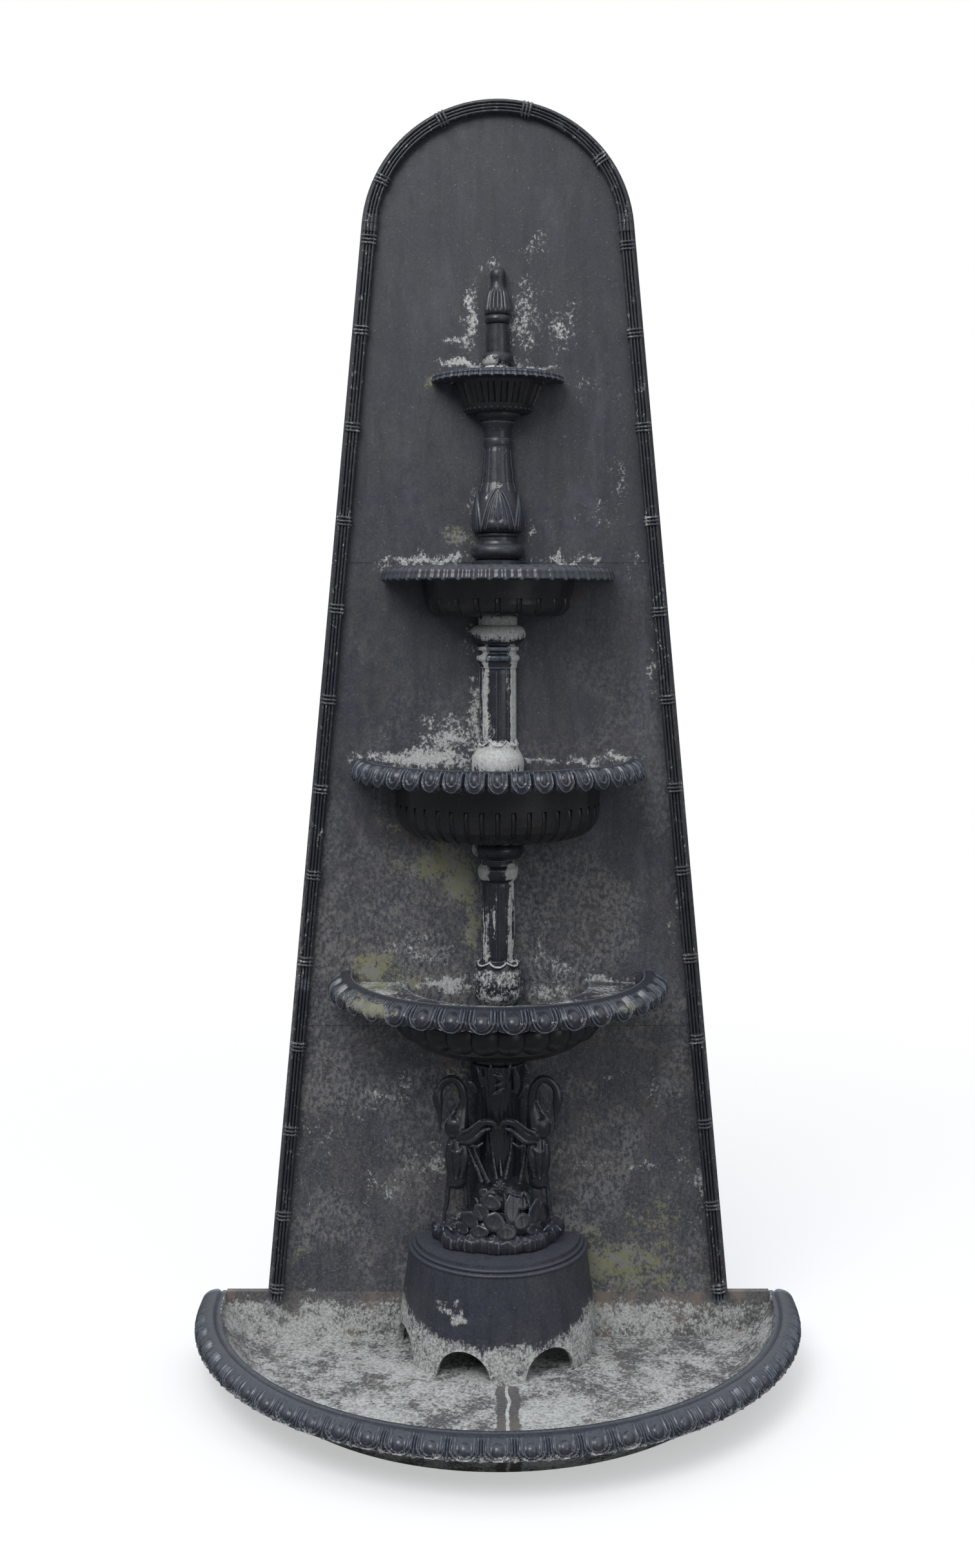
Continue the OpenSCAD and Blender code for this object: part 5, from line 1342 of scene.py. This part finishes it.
def lily_leaf(name, x, z, wide, high, lean):
    """A dished leaf with a raised edge, a point at the top and a crease down its middle."""
    deselect()
    bpy.ops.mesh.primitive_uv_sphere_add(segments=32, ring_count=20, radius=1)
    piece = named(name)
    turn = Matrix.Rotation(math.radians(lean), 4, "Y")
    for vertex in piece.data.vertices:
        u, v, w = vertex.co
        reach = min(math.hypot(u, w), 1.0)
        point = 1 - 0.32 * fade(w, 0.1, 1.0)
        dish = 1.3 * (1 - fade(reach, 0.3, 0.86)) + 0.7 * ridge(u, 0.16) * (1 - reach)
        thick = 3.0 * v + (dish if v < 0 else 0)
        spot = turn @ Vector((u * wide * point, 0, w * high * (1.12 if w > 0 else 1)))
        at = Vector((x + spot.x, 0, z + spot.z))
        vertex.co = out_spot(at.x, lily_out(at.x, at.z) + 2.6 - thick, at.z)
    return piece


class FOUNTAIN_OT_lily(bpy.types.Operator):
    """Water lily: leaves, stems and the open flower"""

    bl_idname = "fountain.lily"
    bl_label = "Water lily"

    def execute(self, context):
        # The bed under the leaves shows through the panel's back too
        parts = [lobe("bed", 8, 22, 240, 52, 50, 58), lobe("bed_low", 8, 42, 222, 72, 50, 26)]
        parts += [lily_leaf(f"leaf_{i}", *leaf) for i, leaf in enumerate(LILY_LEAVES)]
        leaves = cast("lily_leaf_casting", parts + strands("stem", LILY_STEMS), 1.0)
        x, z, out = 3, 288, 80
        petals = [strand("seat", [(x, 58, z, 9), (x, out, z, 7)], 1, 16)]
        for ring, (count, reach, size) in enumerate(((9, 7.6, 3.4), (6, 4.0, 2.6))):
            for i in range(count):
                turn = 2 * math.pi * (i + ring * 0.5) / count
                petals.append(lobe(
                    f"petal_{ring}_{i}", x + reach * math.cos(turn), out + ring * 2.4, z + reach * math.sin(turn),
                    size * 1.3, 2.4, size, -math.degrees(turn)
                ))
        petals.append(lobe("heart", x, out + 5, z, 2, 2, 2))
        flower = cast("lily_flower_casting", petals, 0.6)
        hand_over_cast(leaves, "water_lily")
        hand_over_cast(flower)
        return {"FINISHED"}


class FOUNTAIN_OT_rock(bpy.types.Operator):
    """Ragged rock under the herons"""

    bl_idname = "fountain.rock"
    bl_label = "Rock"

    def execute(self, context):
        around, out_rows, down_rows = 180, 54, 22

        def place(column, row):
            angle = math.pi * (column / around - 0.5)
            folds = noise.fractal(Vector((math.sin(angle) * 2.2, math.cos(angle) * 2.2, 7)), 0.7, 2.3, 5)
            reach = min(104 + 10 * folds, 113)
            share = min(row / out_rows, 1)
            fall = max(row - out_rows, 0) / down_rows
            radius = reach * share + 4 * math.sin(math.pi * fall)
            spot = Vector((radius * math.sin(angle), radius * math.cos(angle), 0))
            rough = noise.fractal(spot / 26, 0.9, 2.2, 5)
            crease = abs(noise.noise(Vector((angle * 5, radius / 40, 3)))) + 0.5 * abs(noise.noise(spot / 9))
            top = 222 - 13 * share ** 2 + (6 * rough - 9 * crease + 3) * fade(share, 0.1, 0.7)
            foot = 189 + 5 * abs(noise.noise(Vector((angle * 2.4, 1, 8)))) if fall < 1 else 188.2
            z = top + (foot - top) * fade(fall, 0, 1)
            spot = spot * (1 + 0.02 * rough * fall)
            return out_spot(spot.x, 0.3 + max(spot.y, 0), max(z, 188.2)), 0.0

        piece = formed("rock_casting", around, out_rows + down_rows, place)
        hand_over(piece, ["rock_base"], MATERIALS["rock"], degrees=60, worn_and_highlight=2.6)
        return {"FINISHED"}


CLASSES = [
    FountainLooks, FOUNTAIN_OT_stage, FOUNTAIN_OT_castings, FOUNTAIN_OT_border, FOUNTAIN_OT_columns,
    FOUNTAIN_OT_rims, FOUNTAIN_OT_rock, FOUNTAIN_OT_reeds, FOUNTAIN_OT_lily, FOUNTAIN_OT_herons,
]


class FOUNTAIN_PT_panel(bpy.types.Panel):
    """Lists the steps that build the fountain's looks"""

    bl_idname = "FOUNTAIN_PT_panel"
    bl_label = "Fountain"
    bl_space_type = "VIEW_3D"
    bl_region_type = "UI"
    bl_category = "Fountain"

    def draw(self, context):
        for name in looks().bl_rna.properties.keys():
            if name not in ("rna_type", "name"):
                self.layout.prop(looks(), name)
        for step in CLASSES[1:]:
            self.layout.operator(step.bl_idname)


def register():
    for each in [*CLASSES, FOUNTAIN_PT_panel]:
        bpy.utils.register_class(each)
    bpy.types.Scene.fountain_looks = bpy.props.PointerProperty(type=FountainLooks)


def unregister():
    del bpy.types.Scene.fountain_looks
    for each in reversed([*CLASSES, FOUNTAIN_PT_panel]):
        bpy.utils.unregister_class(each)


def main():
    register()
    bpy.ops.fountain.stage()
    bpy.ops.fountain.castings()
    bpy.ops.fountain.border()
    bpy.ops.fountain.columns()
    bpy.ops.fountain.rims()
    bpy.ops.fountain.rock()
    bpy.ops.fountain.reeds()
    bpy.ops.fountain.lily()
    bpy.ops.fountain.herons()


if __name__ == "__main__":
    main()
